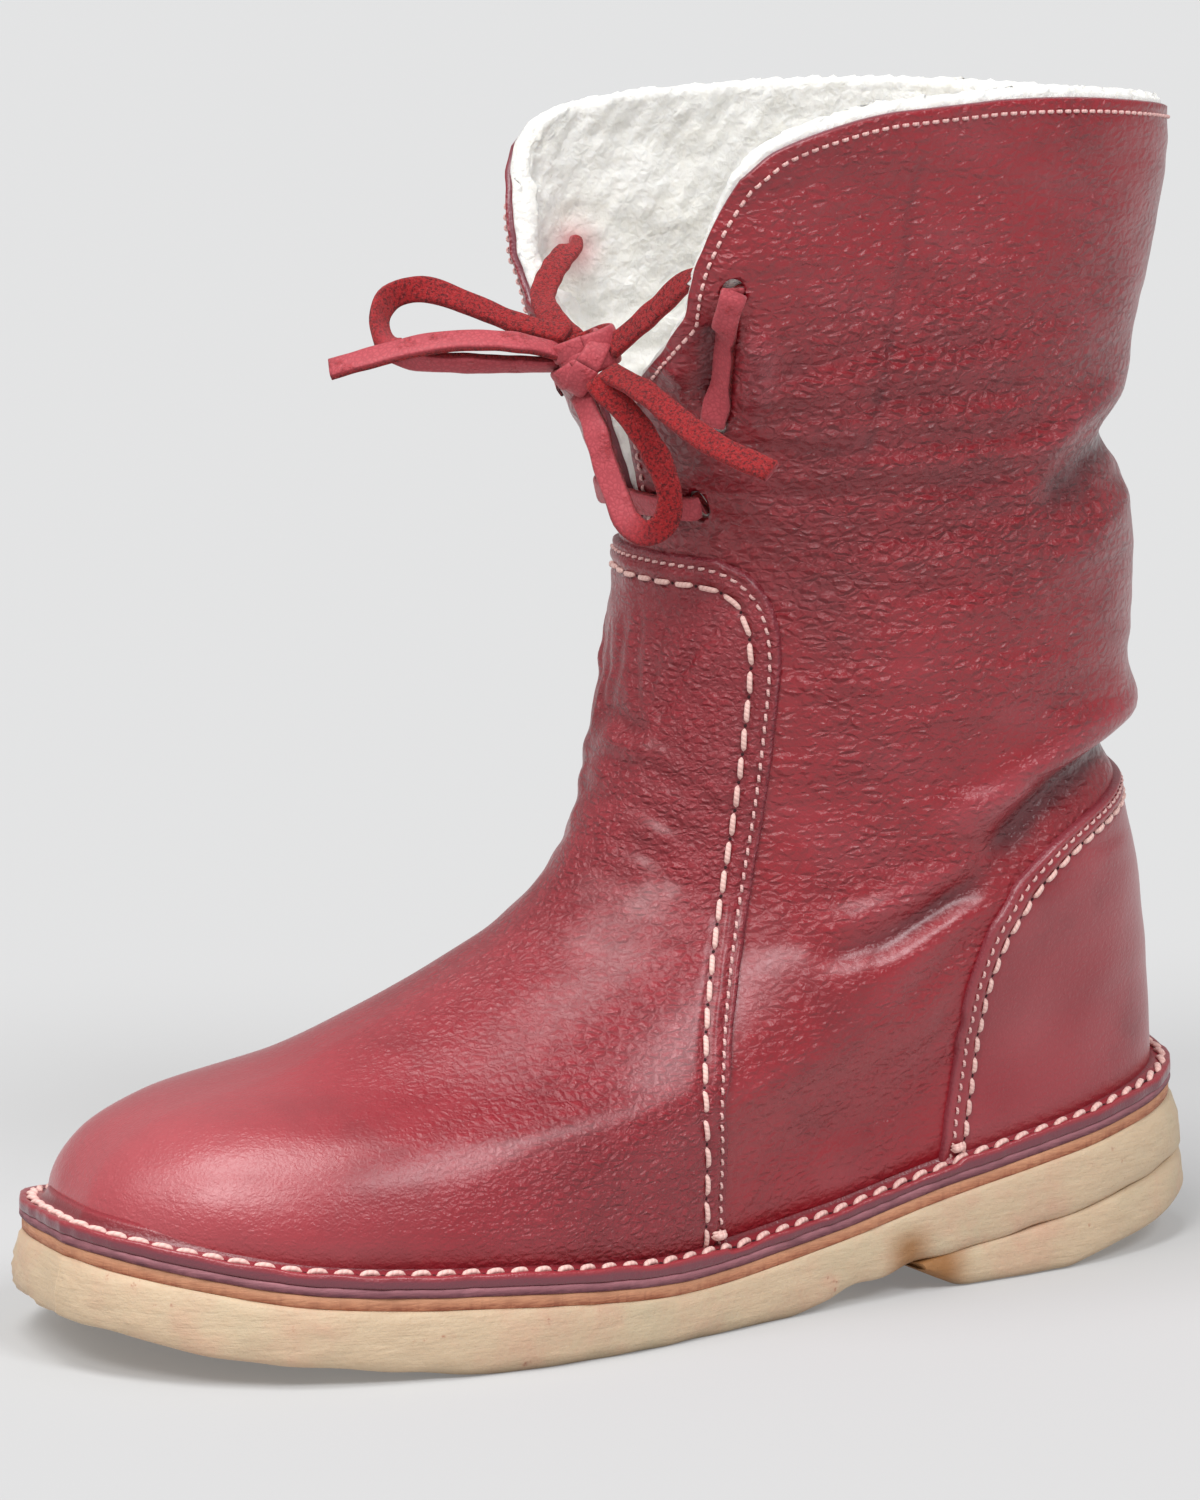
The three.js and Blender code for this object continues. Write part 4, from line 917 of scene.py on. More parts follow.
def make_upper():
    turn, rise, base = upper_places(SIDE_COLUMNS, FOOT_ROWS, THROAT_ROWS)
    outside = place(turn, rise)
    inside = place(turn, rise, -LEATHER)
    points, faces, rim = shell_of(outside, inside, base, 0.35, 2)
    front, _, height = flat_place(turn, rise)
    band = ease((height - 135) / 35) * ease((232 - height) / 40)
    grain = 0.55 + 0.6 * band - 0.25 * ease((95 - height) / 40) - 0.1 * ease((height - 225) / 20)
    grain = np.clip(grain + 0.12 * waves(front, height, 30, 11), 0.15, 1.3)
    worn = 0.25 * ease((waves(front, 2 * height, 34, 12) - 0.2) / 1.2)
    paint = hide_paint(turn, rise, grain, worn)
    # Painted shade down the vein's shallow trough
    vein = distance_to(VEIN, front, height)[0]
    paint["crease"] = np.clip(paint["crease"] + 0.45 * np.exp(-(vein / 0.9) ** 2), 0, 1)
    paint = {key: np.concatenate([values.ravel(), values.ravel(), np.zeros(rim)])
             for key, values in paint.items()}
    paint["edge"] = np.concatenate([np.zeros(2 * turn.size), np.ones(rim)])
    points, faces, paint = kept_only(points, faces, paint)
    piece = make_mesh("upper_leather", points, faces, SHAFT_LEATHER, paint)
    return dress(cut_holes(piece), "red_leather", "upper")


HOLE_RADIUS = 3.1


def cut_holes(piece):
    cutters = Heap()
    sides = 20
    angle = 2 * np.pi * np.arange(sides) / sides
    for name in HOLES:
        for side in (OUTER, INNER):
            centre, out = hole_place(name, side)
            across = unit(np.cross(out, [0, 0, 1]))
            up = np.cross(across, out)
            circle = np.cos(angle)[:, None] * across * 0.85 + np.sin(angle)[:, None] * up * 1.15
            circle = HOLE_RADIUS * circle
            points = np.concatenate([centre + circle + out * 6, centre + circle - out * 6])
            cutters.add(points, tube_faces(2, sides))
    cutter = cutters.mesh("lace_hole_cutter", HOLE_SHADE)
    modifier = piece.modifiers.new("lace_holes", "BOOLEAN")
    modifier.operation = "DIFFERENCE"
    modifier.solver = "EXACT"
    modifier.object = cutter
    apply_modifiers(piece)
    bpy.data.objects.remove(cutter)
    return piece


def apply_modifiers(piece):
    graph = bpy.context.evaluated_depsgraph_get()
    mesh = bpy.data.meshes.new_from_object(piece.evaluated_get(graph))
    piece.modifiers.clear()
    piece.data = mesh


make_upper()


# Panels that lap over the upper
def away_from(line, points):
    """Distance of points in space from a line of points"""
    best = np.full(points.shape[:-1], 1e9)
    for a, b in zip(line[:-1], line[1:]):
        d = b - a
        t = np.clip(((points - a) @ d) / max(d @ d, 1e-9), 0, 1)
        best = np.minimum(best, np.linalg.norm(points - a - t[..., None] * d, axis=-1))
    return best


def by_length(line, values, step):
    """Values down a line, read again at even steps of its length"""
    lengths = lengths_down(line)
    at = np.linspace(0, lengths[-1], int(lengths[-1] / step) + 2)
    return [np.interp(at, lengths, value) for value in values]


def panel_edge(table, base):
    """Turn and rise down a panel's edge: up the outer side, across the top and down the inner side"""
    width = smooth(table, 1)
    rises = np.linspace(FEATHER_RISE, table[-1][0], 160)
    widths = width(rises)
    up, down = (widths, -widths[::-1]) if base == "front" else (1 - widths, 1 + widths[::-1])
    turn, rise = np.concatenate([up, down]), np.concatenate([rises, rises[::-1]])
    return by_length(read_grid(FORM, turn, rise), (turn, rise), 0.7)


def slide(turn, rise, target):
    """Places on the upper nearest to points beside them"""
    step = 0.002
    for _ in range(5):
        here = read_grid(FORM, turn, rise)
        along = (read_grid(FORM, turn + step, rise) - here) / step
        up = (read_grid(FORM, turn, np.minimum(rise + step, 1)) - here) / step
        miss = target - here
        aa, ab, bb = (along * along).sum(-1), (along * up).sum(-1), (up * up).sum(-1)
        ma, mb = (miss * along).sum(-1), (miss * up).sum(-1)
        det = np.maximum(aa * bb - ab * ab, 1e-9)
        turn = turn + np.clip((ma * bb - mb * ab) / det, -0.03, 0.03)
        rise = np.clip(rise + np.clip((mb * aa - ma * ab) / det, -0.03, 0.03), FEATHER_RISE, 1)
    return turn, rise


SEAM_PASSES = 60


def inset_line(table, base, inset):
    """Turn and rise down a line at an even distance in from a panel's edge"""
    turn, rise = panel_edge(table, base)
    edge = read_grid(FORM, turn, rise)
    way = np.cross(unit(read_grid(FORM_NORMAL, turn, rise)), unit(np.gradient(edge, axis=0)))
    target = edge + unit(way) * inset * (1 if base == "front" else -1)
    kept = away_from(edge, target) > inset - 0.12
    target = target[kept]
    for _ in range(SEAM_PASSES):
        target[1:-1] = (target[:-2] + 2 * target[1:-1] + target[2:]) / 4
    turn, rise = slide(turn[kept], rise[kept], target)
    return by_length(read_grid(FORM, turn, rise), (turn, rise), 0.8)


PANEL_ROUND = 1.3
PANEL_SINK = 0.6


def panel_lift(away, thick_row):
    """How high a panel's face stands over the upper, by the distance from its edge; it dips at its seams"""
    rounded = np.sqrt(np.clip(1 - (1 - np.clip(away / PANEL_ROUND, 0, 1)) ** 2, 0, 1))
    dip = 0.42 * np.exp(-((away - thick_row) / 1.1) ** 2) + 0.3 * np.exp(-((away - THIN_ROW) / 0.8) ** 2)
    puff = 0.32 * np.exp(-((away - (thick_row + THIN_ROW) / 2) / 1.2) ** 2)
    return PANEL * rounded - dip + puff


def make_panel(name, table, base, thick_row, rows, columns, looks, node):
    """A panel as a closed sheet; looks gives its grain and its wear by place"""
    width = smooth(table, 1)
    top = table[-1][0]
    split = top - 0.04
    levels = np.concatenate([front_levels(FEATHER_RISE, split, rows, 0.35 if base == "front" else 1),
                             top - (top - split) * np.linspace(1, 0, 34)[1:] ** 1.5])
    share = np.linspace(-1, 1, columns)
    share = np.sign(share) * (1 - (1 - np.abs(share)) ** 1.35)
    shift = share[None, :] * width(levels)[:, None]
    turn = shift if base == "front" else 1 + shift
    rise = levels[:, None] + 0 * shift
    front, _, height = flat_place(turn, rise)
    edge_turn, edge_rise = panel_edge(table, base)
    away = away_from(read_grid(FORM, edge_turn, edge_rise), read_grid(FORM, turn, rise))
    away[:, 0] = away[:, -1] = 0
    away[-1, :] = 0
    over = place(turn, rise, panel_lift(away, thick_row))
    under = place(turn, rise, -PANEL_SINK)
    grain, worn = looks(front, height, over)
    paint = hide_paint(turn, rise, grain, worn)
    # Painted shade along the seam rows, where the panel dips
    seam_shade = np.exp(-((away - thick_row) / 0.9) ** 2) + 0.6 * np.exp(-((away - THIN_ROW) / 0.7) ** 2)
    paint["crease"] = np.clip(paint["crease"] + 0.4 * seam_shade, 0, 1)
    paint["edge"] = 0.45 * ease((1.0 - away) / 0.6)
    paint = {key: np.concatenate([values.ravel(), values.ravel()]) for key, values in paint.items()}
    return dress(make_mesh(name, *closed_sheet(over, under), FOOT_LEATHER, paint), "red_leather", node)


def vamp_looks(front, height, points):
    from_toe = points[..., 1] - (HEEL_BACK - LENGTH)
    grain = 0.85 * ease((from_toe - 50) / 70) + 0.15
    worn = 0.55 * ease((75 - from_toe) / 60) + 0.25 * ease(1 - np.abs(front) / 40) * ease((110 - height) / 60)
    return grain, worn + 0.08 * waves(front, height, 25, 21)


def counter_looks(_, height, points):
    return 0.16 + 0 * height, 0.22 + 0.1 * waves(points[..., 1], height, 22, 22)


make_panel("vamp_panel", VAMP, "front", VAMP_ROW, 150, 190, vamp_looks, "vamp")
make_panel("counter_panel", COUNTER, "back", COUNTER_ROW, 80, 130, counter_looks, "heel_counter")


# Stitches
STITCH_RINGS = 8
STITCH_SIDES = 8


def stitch_row(heap, line, normals, pitch, fill, radius, lean=0.0, arch=0.25, sunk=0.5):
    """Stitches down a line in space; each dips in at its ends, and lean slants it like rope"""
    lengths = lengths_down(line)
    count = max(int(round(lengths[-1] / pitch)), 1)
    pitch = lengths[-1] / count
    t = np.linspace(0, 1, STITCH_RINGS)
    at = (np.arange(count)[:, None] + (1 - fill) / 2 + fill * t[None, :]) * pitch
    centre = columns_at(at, lengths, line)
    normal = unit(columns_at(at, lengths, normals))
    tangent = unit(np.gradient(centre, axis=1))
    side = unit(np.cross(normal, tangent))
    swing = np.abs(2 * t - 1)
    centre = centre + side * (lean * (t - 0.5))[None, :, None]
    centre = centre + normal * (arch * (1 - swing ** 2) - sunk * swing ** 4)[None, :, None]
    angle = 2 * np.pi * np.arange(STITCH_SIDES) / STITCH_SIDES
    size = radius * np.sqrt(np.clip(1.02 - swing ** 5, 0.05, 1))
    ring = (np.cos(angle)[None, None, :, None] * side[:, :, None] * 1.1
            + np.sin(angle)[None, None, :, None] * normal[:, :, None] * 0.85)
    points = centre[:, :, None] + ring * size[None, :, None, None]
    per = STITCH_RINGS * STITCH_SIDES
    faces = tube_faces(STITCH_RINGS, STITCH_SIDES)
    for i in range(count):
        along = np.repeat(at[i], STITCH_SIDES)
        about = np.tile(np.arange(STITCH_SIDES) / STITCH_SIDES, STITCH_RINGS)
        heap.add(points[i].reshape(per, 3), faces, along=along / (2 * radius), round=about)
    return centre


def needle_hole_shades(heap, stitches, radius):
    """Painted shade of the holes where a row of stitches goes through: small dark blobs in the gaps"""
    gaps = (stitches[:-1, -1] + stitches[1:, 0]) / 2
    directions = unit(stitches[1:, 0] - stitches[:-1, -1])
    rings, sides = 4, 6
    for centre, along in zip(gaps, directions):
        across = unit(np.cross(along, [0.3, 0.2, 1]))
        third = np.cross(along, across)
        angle = 2 * np.pi * np.arange(sides) / sides
        points = []
        for t in np.linspace(-1, 1, rings):
            size = radius * math.sqrt(max(1.05 - t * t, 0.06))
            circle = np.cos(angle)[:, None] * across + np.sin(angle)[:, None] * third
            points.append(centre + along * t * radius * 1.2 + circle * size)
        heap.add(np.concatenate(points), tube_faces(rings, sides))


THIN_PITCH = 2.7
VAMP_PITCH = 6.2
COUNTER_PITCH = 4.8
holes = Heap()
thick = Heap()
thin = Heap()


def seam(table, base, inset, heap, pitch, fill, radius, lift, hole):
    turn, rise = inset_line(table, base, inset)
    centre = place(turn, rise, lift)
    rows = stitch_row(heap, centre, facing(turn, rise), pitch, fill, radius, lean=0.3)
    needle_hole_shades(holes, rows, hole)


TACK_RISE = 0.013
TACK_OUT = 1.1


def make_tacks(table, base, insets, lift):
    """Bunched thread at the foot of a panel's two rows, on both sides"""
    near, far = [inset_line(table, base, inset) for inset in insets]
    for end in (0, -1):
        for shift, bulge in ((0.0, 0.5), (0.45, 0.0), (-0.45, 0.1)):
            t = np.linspace(0, 1, 9)
            turn = lerp(near[0][end], far[0][end], t)
            rise = lerp(near[1][end], far[1][end], t) + TACK_RISE
            normals = facing(turn, rise)
            line = place(turn, rise, lift + TACK_OUT + bulge)
            line = line + np.cross(normals, unit(line[-1] - line[0])) * shift
            length = np.linalg.norm(np.diff(line, axis=0), axis=1).sum()
            stitch_row(thick, line, normals, length, 1.0, 0.62, arch=0.2, sunk=0.7)


def make_panel_seams():
    for table, base, thick_row, pitch in ((VAMP, "front", VAMP_ROW, VAMP_PITCH),
                                          (COUNTER, "back", COUNTER_ROW, COUNTER_PITCH)):
        face, thin_face = [float(panel_lift(np.array(row), thick_row)) for row in (thick_row, THIN_ROW)]
        seam(table, base, thick_row, thick, pitch, 0.84, 0.56, face + 0.25, 0.5)
        seam(table, base, THIN_ROW, thin, THIN_PITCH, 0.72, 0.32, thin_face + 0.1, 0.3)
        make_tacks(table, base, (thick_row - 0.8, THIN_ROW - 0.6), face)


make_panel_seams()

THROAT_INSET = 2.4
EDGE_PITCH = 2.5


def make_edge_seam():
    """The single row that follows the throat and the collar"""
    turn, rise, base = upper_places(SIDE_COLUMNS, FOOT_ROWS, THROAT_ROWS, -THROAT_INSET)
    rows, last = turn.shape[0], turn.shape[1] - 1
    path = rim_path(rows, last, base + 3)
    turn, rise = turn[path[:, 0], path[:, 1]], rise[path[:, 0], path[:, 1]]
    line = place(turn, rise, 0.12)
    even = np.linspace(0, 1, 700)
    normals = facing(turn, rise)
    lengths = lengths_down(line)
    line, normals = [columns_at(even * lengths[-1], lengths, values) for values in (line, normals)]
    stitch_row(thin, line, unit(normals), EDGE_PITCH, 0.76, 0.36)


make_edge_seam()


# The foot of the leather turned out over the welt, with its rope-like seam
FLANGE_COLUMNS = 300
FLANGE_PITCH = 5.6
flange_line = {}
for side in (OUTER, INNER):
    shares = (1 + np.cos(np.linspace(0, np.pi, 400))) / 2
    flange_line[side] = np.stack(outline_point(shares, side, EDGE_INSET, 1), axis=1)


def around_foot(columns):
    """Side, share from the toe to the heel and turn of each column round the foot"""
    column = np.arange(2 * columns)
    side = np.where(column <= columns, OUTER, INNER)
    share = np.where(column <= columns, column, 2 * columns - column) / columns
    return side, share, side * share


def flange_edge(side, share):
    """Places of the flange's outer edge, each by side and by share of its length"""
    outer, inner = [spread(flange_line[s], share)[0] for s in (OUTER, INNER)]
    return np.where((side == OUTER)[:, None], outer, inner)


def panel_here(turn):
    """1 where the vamp or the counter covers the foot, with a step at their ends"""
    rounded = np.abs(turn)
    vamp = ease((VAMP[0][1] - rounded) / 0.004)
    counter = ease((rounded - (1 - COUNTER[0][1])) / 0.004)
    return np.maximum(vamp, counter)


# Profile of the flange: share of the way out, height over its top
FLANGE_PROFILE = [
    (-0.1, 3.4), (0.0, 2.1), (0.06, 1.15), (0.13, 0.55), (0.22, 0.2), (0.34, 0.05), (0.44, -0.12),
    (0.52, -0.34), (0.6, -0.34), (0.68, -0.1), (0.78, 0.06), (0.88, 0.04), (0.95, -0.12),
    (0.985, -0.42), (1.0, -0.85), (1.0, -1.35), (0.985, -1.8), (0.95, -2.0), (0.5, -2.0), (-0.15, -2.0),
]
STITCH_OUT = 0.56


def flange_point(side, share, turn, out, height):
    foot = place(turn, FEATHER_RISE, panel_here(turn) * PANEL * 0.8)
    edge = flange_edge(side, share)
    way = edge - foot[:, :2]
    ragged = 0.22 * waves(edge[:, 0], edge[:, 1], 14, 31) + 0.12 * waves(edge[:, 0], edge[:, 1], 5, 32)
    xy = foot[:, :2] + way * out + unit(way) * (ragged * max(out, 0) ** 4)[:, None]
    z = flange_top(xy[:, 1]) + height
    return np.concatenate([xy, z[:, None]], axis=1)


def make_flange():
    side, share, turn = around_foot(FLANGE_COLUMNS)
    edge = flange_edge(side, share)
    run = lengths_down(edge)
    total = run[-1] + np.linalg.norm(edge[0] - edge[-1])
    pucker = np.cos(2 * np.pi * run / total * round(total / FLANGE_PITCH))
    cover = panel_here(turn)
    rings, edges, crease_shades = [], [], []
    for out, height in FLANGE_PROFILE:
        top = ease((height + 1.2) / 0.8)
        near_seam = math.exp(-((out - STITCH_OUT) / 0.22) ** 2)
        lifted = height + top * (0.75 * cover + 0.2 * near_seam * pucker)
        lifted = lifted + top * 0.18 * waves(edge[:, 0], edge[:, 1], 19, 33) * ease(out)
        rings.append(flange_point(side, share, turn, out, lifted))
        edges.append(np.full(len(side), ease((-0.35 - height) / 0.5) if out > 0.9 else 0.0))
        # Painted shade at the flange's fold against the upper and along its seam
        crease_shades.append(np.full(len(side), 0.35 * near_seam + 0.75 * max(1 - abs(out - 0.1) / 0.2, 0)))
    ids = np.arange(len(rings) * len(side)).reshape(len(rings), -1)
    faces = quads(ids[::-1], wrap_rows=True, wrap_columns=True)
    count = ids.size
    paint = {"grain": np.full(count, 0.12), "worn": np.full(count, 0.22), "crease": np.concatenate(crease_shades),
             "edge": np.concatenate(edges)}
    piece = make_mesh("flange", np.concatenate(rings), faces, FOOT_LEATHER, paint)
    dress(piece, "red_leather", "upper")
    line = flange_point(side, share, turn, STITCH_OUT, -0.1 + 0.75 * cover)
    line = np.concatenate([line, line[:1]])
    normals = np.zeros_like(line) + (0, 0, 1)
    rows = stitch_row(thick, line, normals, FLANGE_PITCH, 0.92, 0.74, lean=1.5, arch=0.4, sunk=0.45)
    needle_hole_shades(holes, rows, 0.5)


make_flange()
for name, heap, look in (("thick_stitches", thick, THICK_THREAD), ("thin_stitches", thin, THIN_THREAD),
                         ("needle_hole_shades", holes, HOLE_SHADE)):
    dress(heap.mesh(name, look), "red_leather")


# Layers of the sole, each a chain of rings from its top round its edge to its underside
SOLE_STATIONS = 260


def sole_slab(start, end, layers, stations=SOLE_STATIONS, extra=()):
    """Rings of a slab between two shares of the sole: rows run down the chain, columns round the outline"""
    t = (1 - np.cos(np.pi * np.arange(stations + 1) / stations)) / 2
    shares = np.unique(np.concatenate([lerp(start, end, t), extra]))
    rows = []
    for inset, rake, height in layers:
        outer = np.stack(outline_point(shares, OUTER, inset, rake), axis=1)
        inner = np.stack(outline_point(shares, INNER, inset, rake), axis=1)[::-1]
        ring = np.concatenate([outer, inner])
        both = np.concatenate([shares, shares[::-1]])
        rows.append(np.concatenate([ring, height(both, ring[:, 1])[:, None]], axis=1))
    return np.array(rows)


def close_slab(rows):
    """Points and faces of a slab: its rings with a crossing strip on top and below"""
    count, round_count = rows.shape[:2]
    half = round_count // 2
    ids = np.arange(count * round_count).reshape(count, round_count)
    faces = quads(ids, wrap_columns=True)
    top, low = ids[0], ids[-1]
    for i in range(half - 1):
        faces.append([top[i], top[i + 1], top[round_count - 2 - i], top[round_count - 1 - i]][::-1])
        faces.append([low[i], low[i + 1], low[round_count - 2 - i], low[round_count - 1 - i]])
    return rows.reshape(-1, 3), faces


def below(depth):
    return lambda share, y: flange_top(y) - depth


def rough(slab, out, size, seed):
    """Moves a slab's edge in and out unevenly, all but its first and last ring"""
    rows = slab[1:-1]
    middle = rows.mean(axis=1, keepdims=True)
    away = unit((rows - middle) * (1, 1, 0))
    noise = waves(rows[..., 0] + 3 * rows[..., 2], rows[..., 1] - 2 * rows[..., 2], size, seed)
    return np.concatenate([slab[:1], rows + away * (out * noise)[..., None], slab[-1:]])


LAYER_SWELL = 0.6
WELT_TOP = FLANGE_THICKNESS + 0.05
MIDSOLE_TOP = FLANGE_THICKNESS + WELT_THICKNESS + LAYER_SWELL
CREPE_TOP = FLANGE_THICKNESS + WELT_THICKNESS + MIDSOLE_THICKNESS + 2 * LAYER_SWELL


def make_layer(name, slot, look, depth, thickness, inset, seed):
    layers = [(inset + 5, 1, below(depth)), (inset + 0.35, 1, below(depth)), (inset, 1, below(depth + 0.3)),
              (inset, 1, below(depth + thickness - 0.3)), (inset + 0.3, 1, below(depth + thickness)),
              (inset + 5, 1, below(depth + thickness))]
    rows = sole_slab(0, 1, layers)
    rows = rough(rows, 0.16, 16, seed)
    points, faces = close_slab(rows)
    # Painted highlight: a pale band along each layer's top edge
    lip = np.zeros(rows.shape[:2])
    lip[1:3] = 0.7
    return dress(make_mesh(name, points, faces, look, {"lip": lip.ravel()}), slot, name)


WELT_INSET = EDGE_INSET + 0.25
MIDSOLE_INSET = EDGE_INSET + 0.6
make_layer("welt", "leather_edge", DARK_EDGE, WELT_TOP, WELT_THICKNESS + LAYER_SWELL, WELT_INSET, 41)
make_layer("midsole", "tan_layer", TAN_EDGE, MIDSOLE_TOP, MIDSOLE_THICKNESS + LAYER_SWELL, MIDSOLE_INSET, 42)


LOWER_EDGE_WAVE = 0.35


def crepe_sag(z):
    """How far the crepe's lower edge may wander: not where it rests on the floor"""
    return ease((z - 1) / 3)


def make_crepe():
    def between(t):
        return lambda share, y: lerp(flange_top(y) - CREPE_TOP, underside(share), t)

    layers = [(6, 1, between(0)), (1.2, 1, between(0.0)), (0.6, 1, between(0.06)), (0.3, 0.8, between(0.22)),
              (0, 0.65, between(0.42)), (0, 0.5, between(0.6)), (0.05, 0.45, between(0.75)),
              (0.3, 0.4, between(0.88)), (0.8, 0.45, between(0.95)), (1.7, 0.5, between(0.995)),
              (4, 0.5, between(1))]
    rows = sole_slab(0, 1, layers, extra=(0.32, 0.45, 0.72))
    rows = rough(rows, 0.26, 12, 43)
    x, y, z = np.moveaxis(rows[2:], -1, 0)
    rows[2:, :, 2] += LOWER_EDGE_WAVE * waves(x, y, 15, 45) * crepe_sag(z)
    points, faces = close_slab(rows)
    y, z = points[:, 1], points[:, 2]
    share = (HEEL_BACK - y) / LENGTH
    amber = 0.85 * ease(1 - np.abs(share - 0.335) / 0.03) * ease((17 - z) / 6)
    grime = 0.5 * ease((3.0 - z) / 2.5)
    piece = make_mesh("crepe_sole", points, faces, CREPE_LOOK, {"amber": amber, "grime": grime})
    dress(piece, "crepe", "outsole")

    def lift(t):
        return lambda share, y: lerp(underside(share) - 0.05, heel_underside(share), t)

    layers = [(6, 0.5, lift(0)), (1.0, 0.5, lift(0)), (0.4, 0.4, lift(0.08)), (0.1, 0.3, lift(0.35)),
              (0, 0.2, lift(0.65)), (0.1, 0.1, lift(0.85)), (0.7, 0.1, lift(0.96)), (3, 0.1, lift(1))]
    rows = sole_slab(0, HEEL_FRONT, layers, 120, extra=(0.185, 0.275, 0.296))
    rows = rough(rows, 0.16, 11, 44)
    points, faces = close_slab(rows)
    share = (HEEL_BACK - points[:, 1]) / LENGTH
    amber = 0.9 * ease((share - 0.268) / 0.034)
    grime = 0.45 * ease((2.5 - points[:, 2]) / 2.5)
    piece = make_mesh("heel_lift", points, faces, CREPE_LOOK, {"amber": amber, "grime": grime})
    dress(piece, "crepe", "heel")


make_crepe()


# Shearling: the pile inside, over the footbed and out past the leather's edge
PILE_PAST = 1.1
PILE_INSET = 0.3
DYED_REACH = 5.5


def make_lining():
    turn, rise, base = upper_places(SIDE_COLUMNS, FOOT_ROWS, THROAT_ROWS, PILE_PAST)
    fit = np.minimum(rise, CORNER_RISE + 0.04)
    front, _, height = flat_place(turn, fit)
    curls = waves(front, height, 4.6, 51, 15) + 0.6 * waves(front, height, 2.6, 52, 15)
    depth = PILE + 0.3 * curls + 0.4 * waves(front, height, 17, 53)
    outside = place(turn, fit, -LEATHER + PILE_INSET)
    inside = place(turn, fit, -LEATHER - depth)
    points, faces, _ = shell_of(outside, inside, base, 1.1, 6)
    spin = np.random.default_rng(54)
    count = turn.size
    rim_points = points[2 * count:]
    bump = waves(rim_points[:, 0] + rim_points[:, 2], rim_points[:, 1] - rim_points[:, 2], 3.2, 55, 9)
    rim_points += spin.normal(0, 0.16, rim_points.shape) + 0.28 * bump[:, None]
    hole = hole_place("upper", INNER, -LEATHER - PILE)[0]
    from_hole = np.linalg.norm(points - hole, axis=1)
    paint = {"dyed": 0.75 * np.exp(-(from_hole / DYED_REACH) ** 2)}
    points, faces, paint = kept_only(points, faces, paint)
    piece = make_mesh("shearling_lining", points, faces, PILE_LOOK, paint)
    dress(piece, "footbed", "upper")


make_lining()


def make_footbed():
    share = (1 - np.cos(np.linspace(0, np.pi, 120))) / 2
    edge = []
    for side in (OUTER, INNER):
        edge.append(place(side * (1 - share), np.full(share.shape, FEATHER_RISE), -LEATHER - 1.5))
    rows = 24
    t = np.linspace(0, 1, rows)[:, None, None]
    grid = lerp(edge[0][None], edge[1][None], t)
    top = INSOLE_THICKNESS - FLANGE_THICKNESS
    noise = waves(grid[..., 0], grid[..., 1], 5, 61) * 0.4
    over, under = grid.copy(), grid.copy()
    over[..., 2] = flange_top(grid[..., 1]) + top + noise
    under[..., 2] = flange_top(grid[..., 1]) - FLANGE_THICKNESS
    points, faces = closed_sheet(over, under)
    piece = make_mesh("footbed_pile", points, faces, PILE_LOOK, {"dyed": np.zeros(len(points))})
    dress(piece, "footbed", "insole")


make_footbed()


# The lace: a soft thong through the holes, tied in a bow
KNOT = (8, -93, 207)
# From the knot to the inside of the upper holes, over the pile
STRANDS = {
    OUTER: [(12.5, -89.8, 210), (15.4, -88, 212.7), (23, -84.5, 219.5), (31, -81.2, 226)],
    INNER: [(3, -94, 211), (-8, -93, 215), (-18, -89, 218), (-26, -81.5, 222.6), (-34, -73, 225.5)],
}
BOW = {
    "lace_loop_left": [(3.7, -95.5, 212.3), (-5.1, -102.7, 214.2), (-13.5, -109.5, 217.8),
                        (-21.1, -117.3, 220.8), (-23.4, -123.8, 219.2), (-20.4, -128.2, 215.1),
                        (-15.3, -129.2, 210.6), (-9.6, -126.4, 207.7), (-2.7, -116.9, 206.8),
                        (0.8, -105.5, 206.2), (2.6, -96.4, 205.7)],
    "lace_end_left": [(4.6, -97.3, 208.6), (4.1, -107.9, 211.4), (-0.7, -118, 212), (-5.1, -125.7, 211.1),
                        (-9.6, -132, 209.2), (-13.6, -137.4, 207.3), (-17.1, -142.1, 205.5)],
    "lace_loop_low": [(6.6, -93.8, 199.8), (14.4, -95, 193.2), (17.6, -94.3, 185.7), (20.7, -93.3, 179.3),
                        (23.7, -92.3, 174), (26.8, -89.8, 171.8), (28.4, -86.3, 173.6),
                        (28.4, -84.7, 178.5), (26.7, -85.3, 184.5), (24, -87.6, 191.1),
                        (20.1, -90.2, 196.7), (13.8, -94.8, 203.9)],
    "lace_end_right": [(14.3, -91.8, 205.2), (26, -89.5, 202), (36, -87, 197), (46, -83, 192),
                        (57, -77, 188)],
}


def curve_through(points, step=1.2):
    """Centripetal curve through points, as many small steps"""
    points = np.asarray(points, float)
    ends = np.vstack([2 * points[0] - points[1], points, 2 * points[-1] - points[-2]])
    line = []
    for a, b, c, d in zip(ends[:-3], ends[1:-2], ends[2:-1], ends[3:]):
        roots = [math.sqrt(max(np.linalg.norm(q - p), 1e-6)) for p, q in ((a, b), (b, c), (c, d))]
        knots = np.cumsum([0] + roots)
        for t in np.linspace(knots[1], knots[2], 12)[:-1]:
            ab = lerp(a, b, (t - knots[0]) / (knots[1] - knots[0]))
            bc = lerp(b, c, (t - knots[1]) / (knots[2] - knots[1]))
            cd = lerp(c, d, (t - knots[2]) / (knots[3] - knots[2]))
            abc = lerp(ab, bc, (t - knots[0]) / (knots[2] - knots[0]))
            bcd = lerp(bc, cd, (t - knots[1]) / (knots[3] - knots[1]))
            line.append(lerp(abc, bcd, (t - knots[1]) / (knots[2] - knots[1])))
    line = np.array(line + [points[-1]])
    total = np.linalg.norm(np.diff(line, axis=0), axis=1).sum()
    return spread(line, np.linspace(0, 1, max(int(total / step), 4)))[0]


RIBBON_SIDES = 20


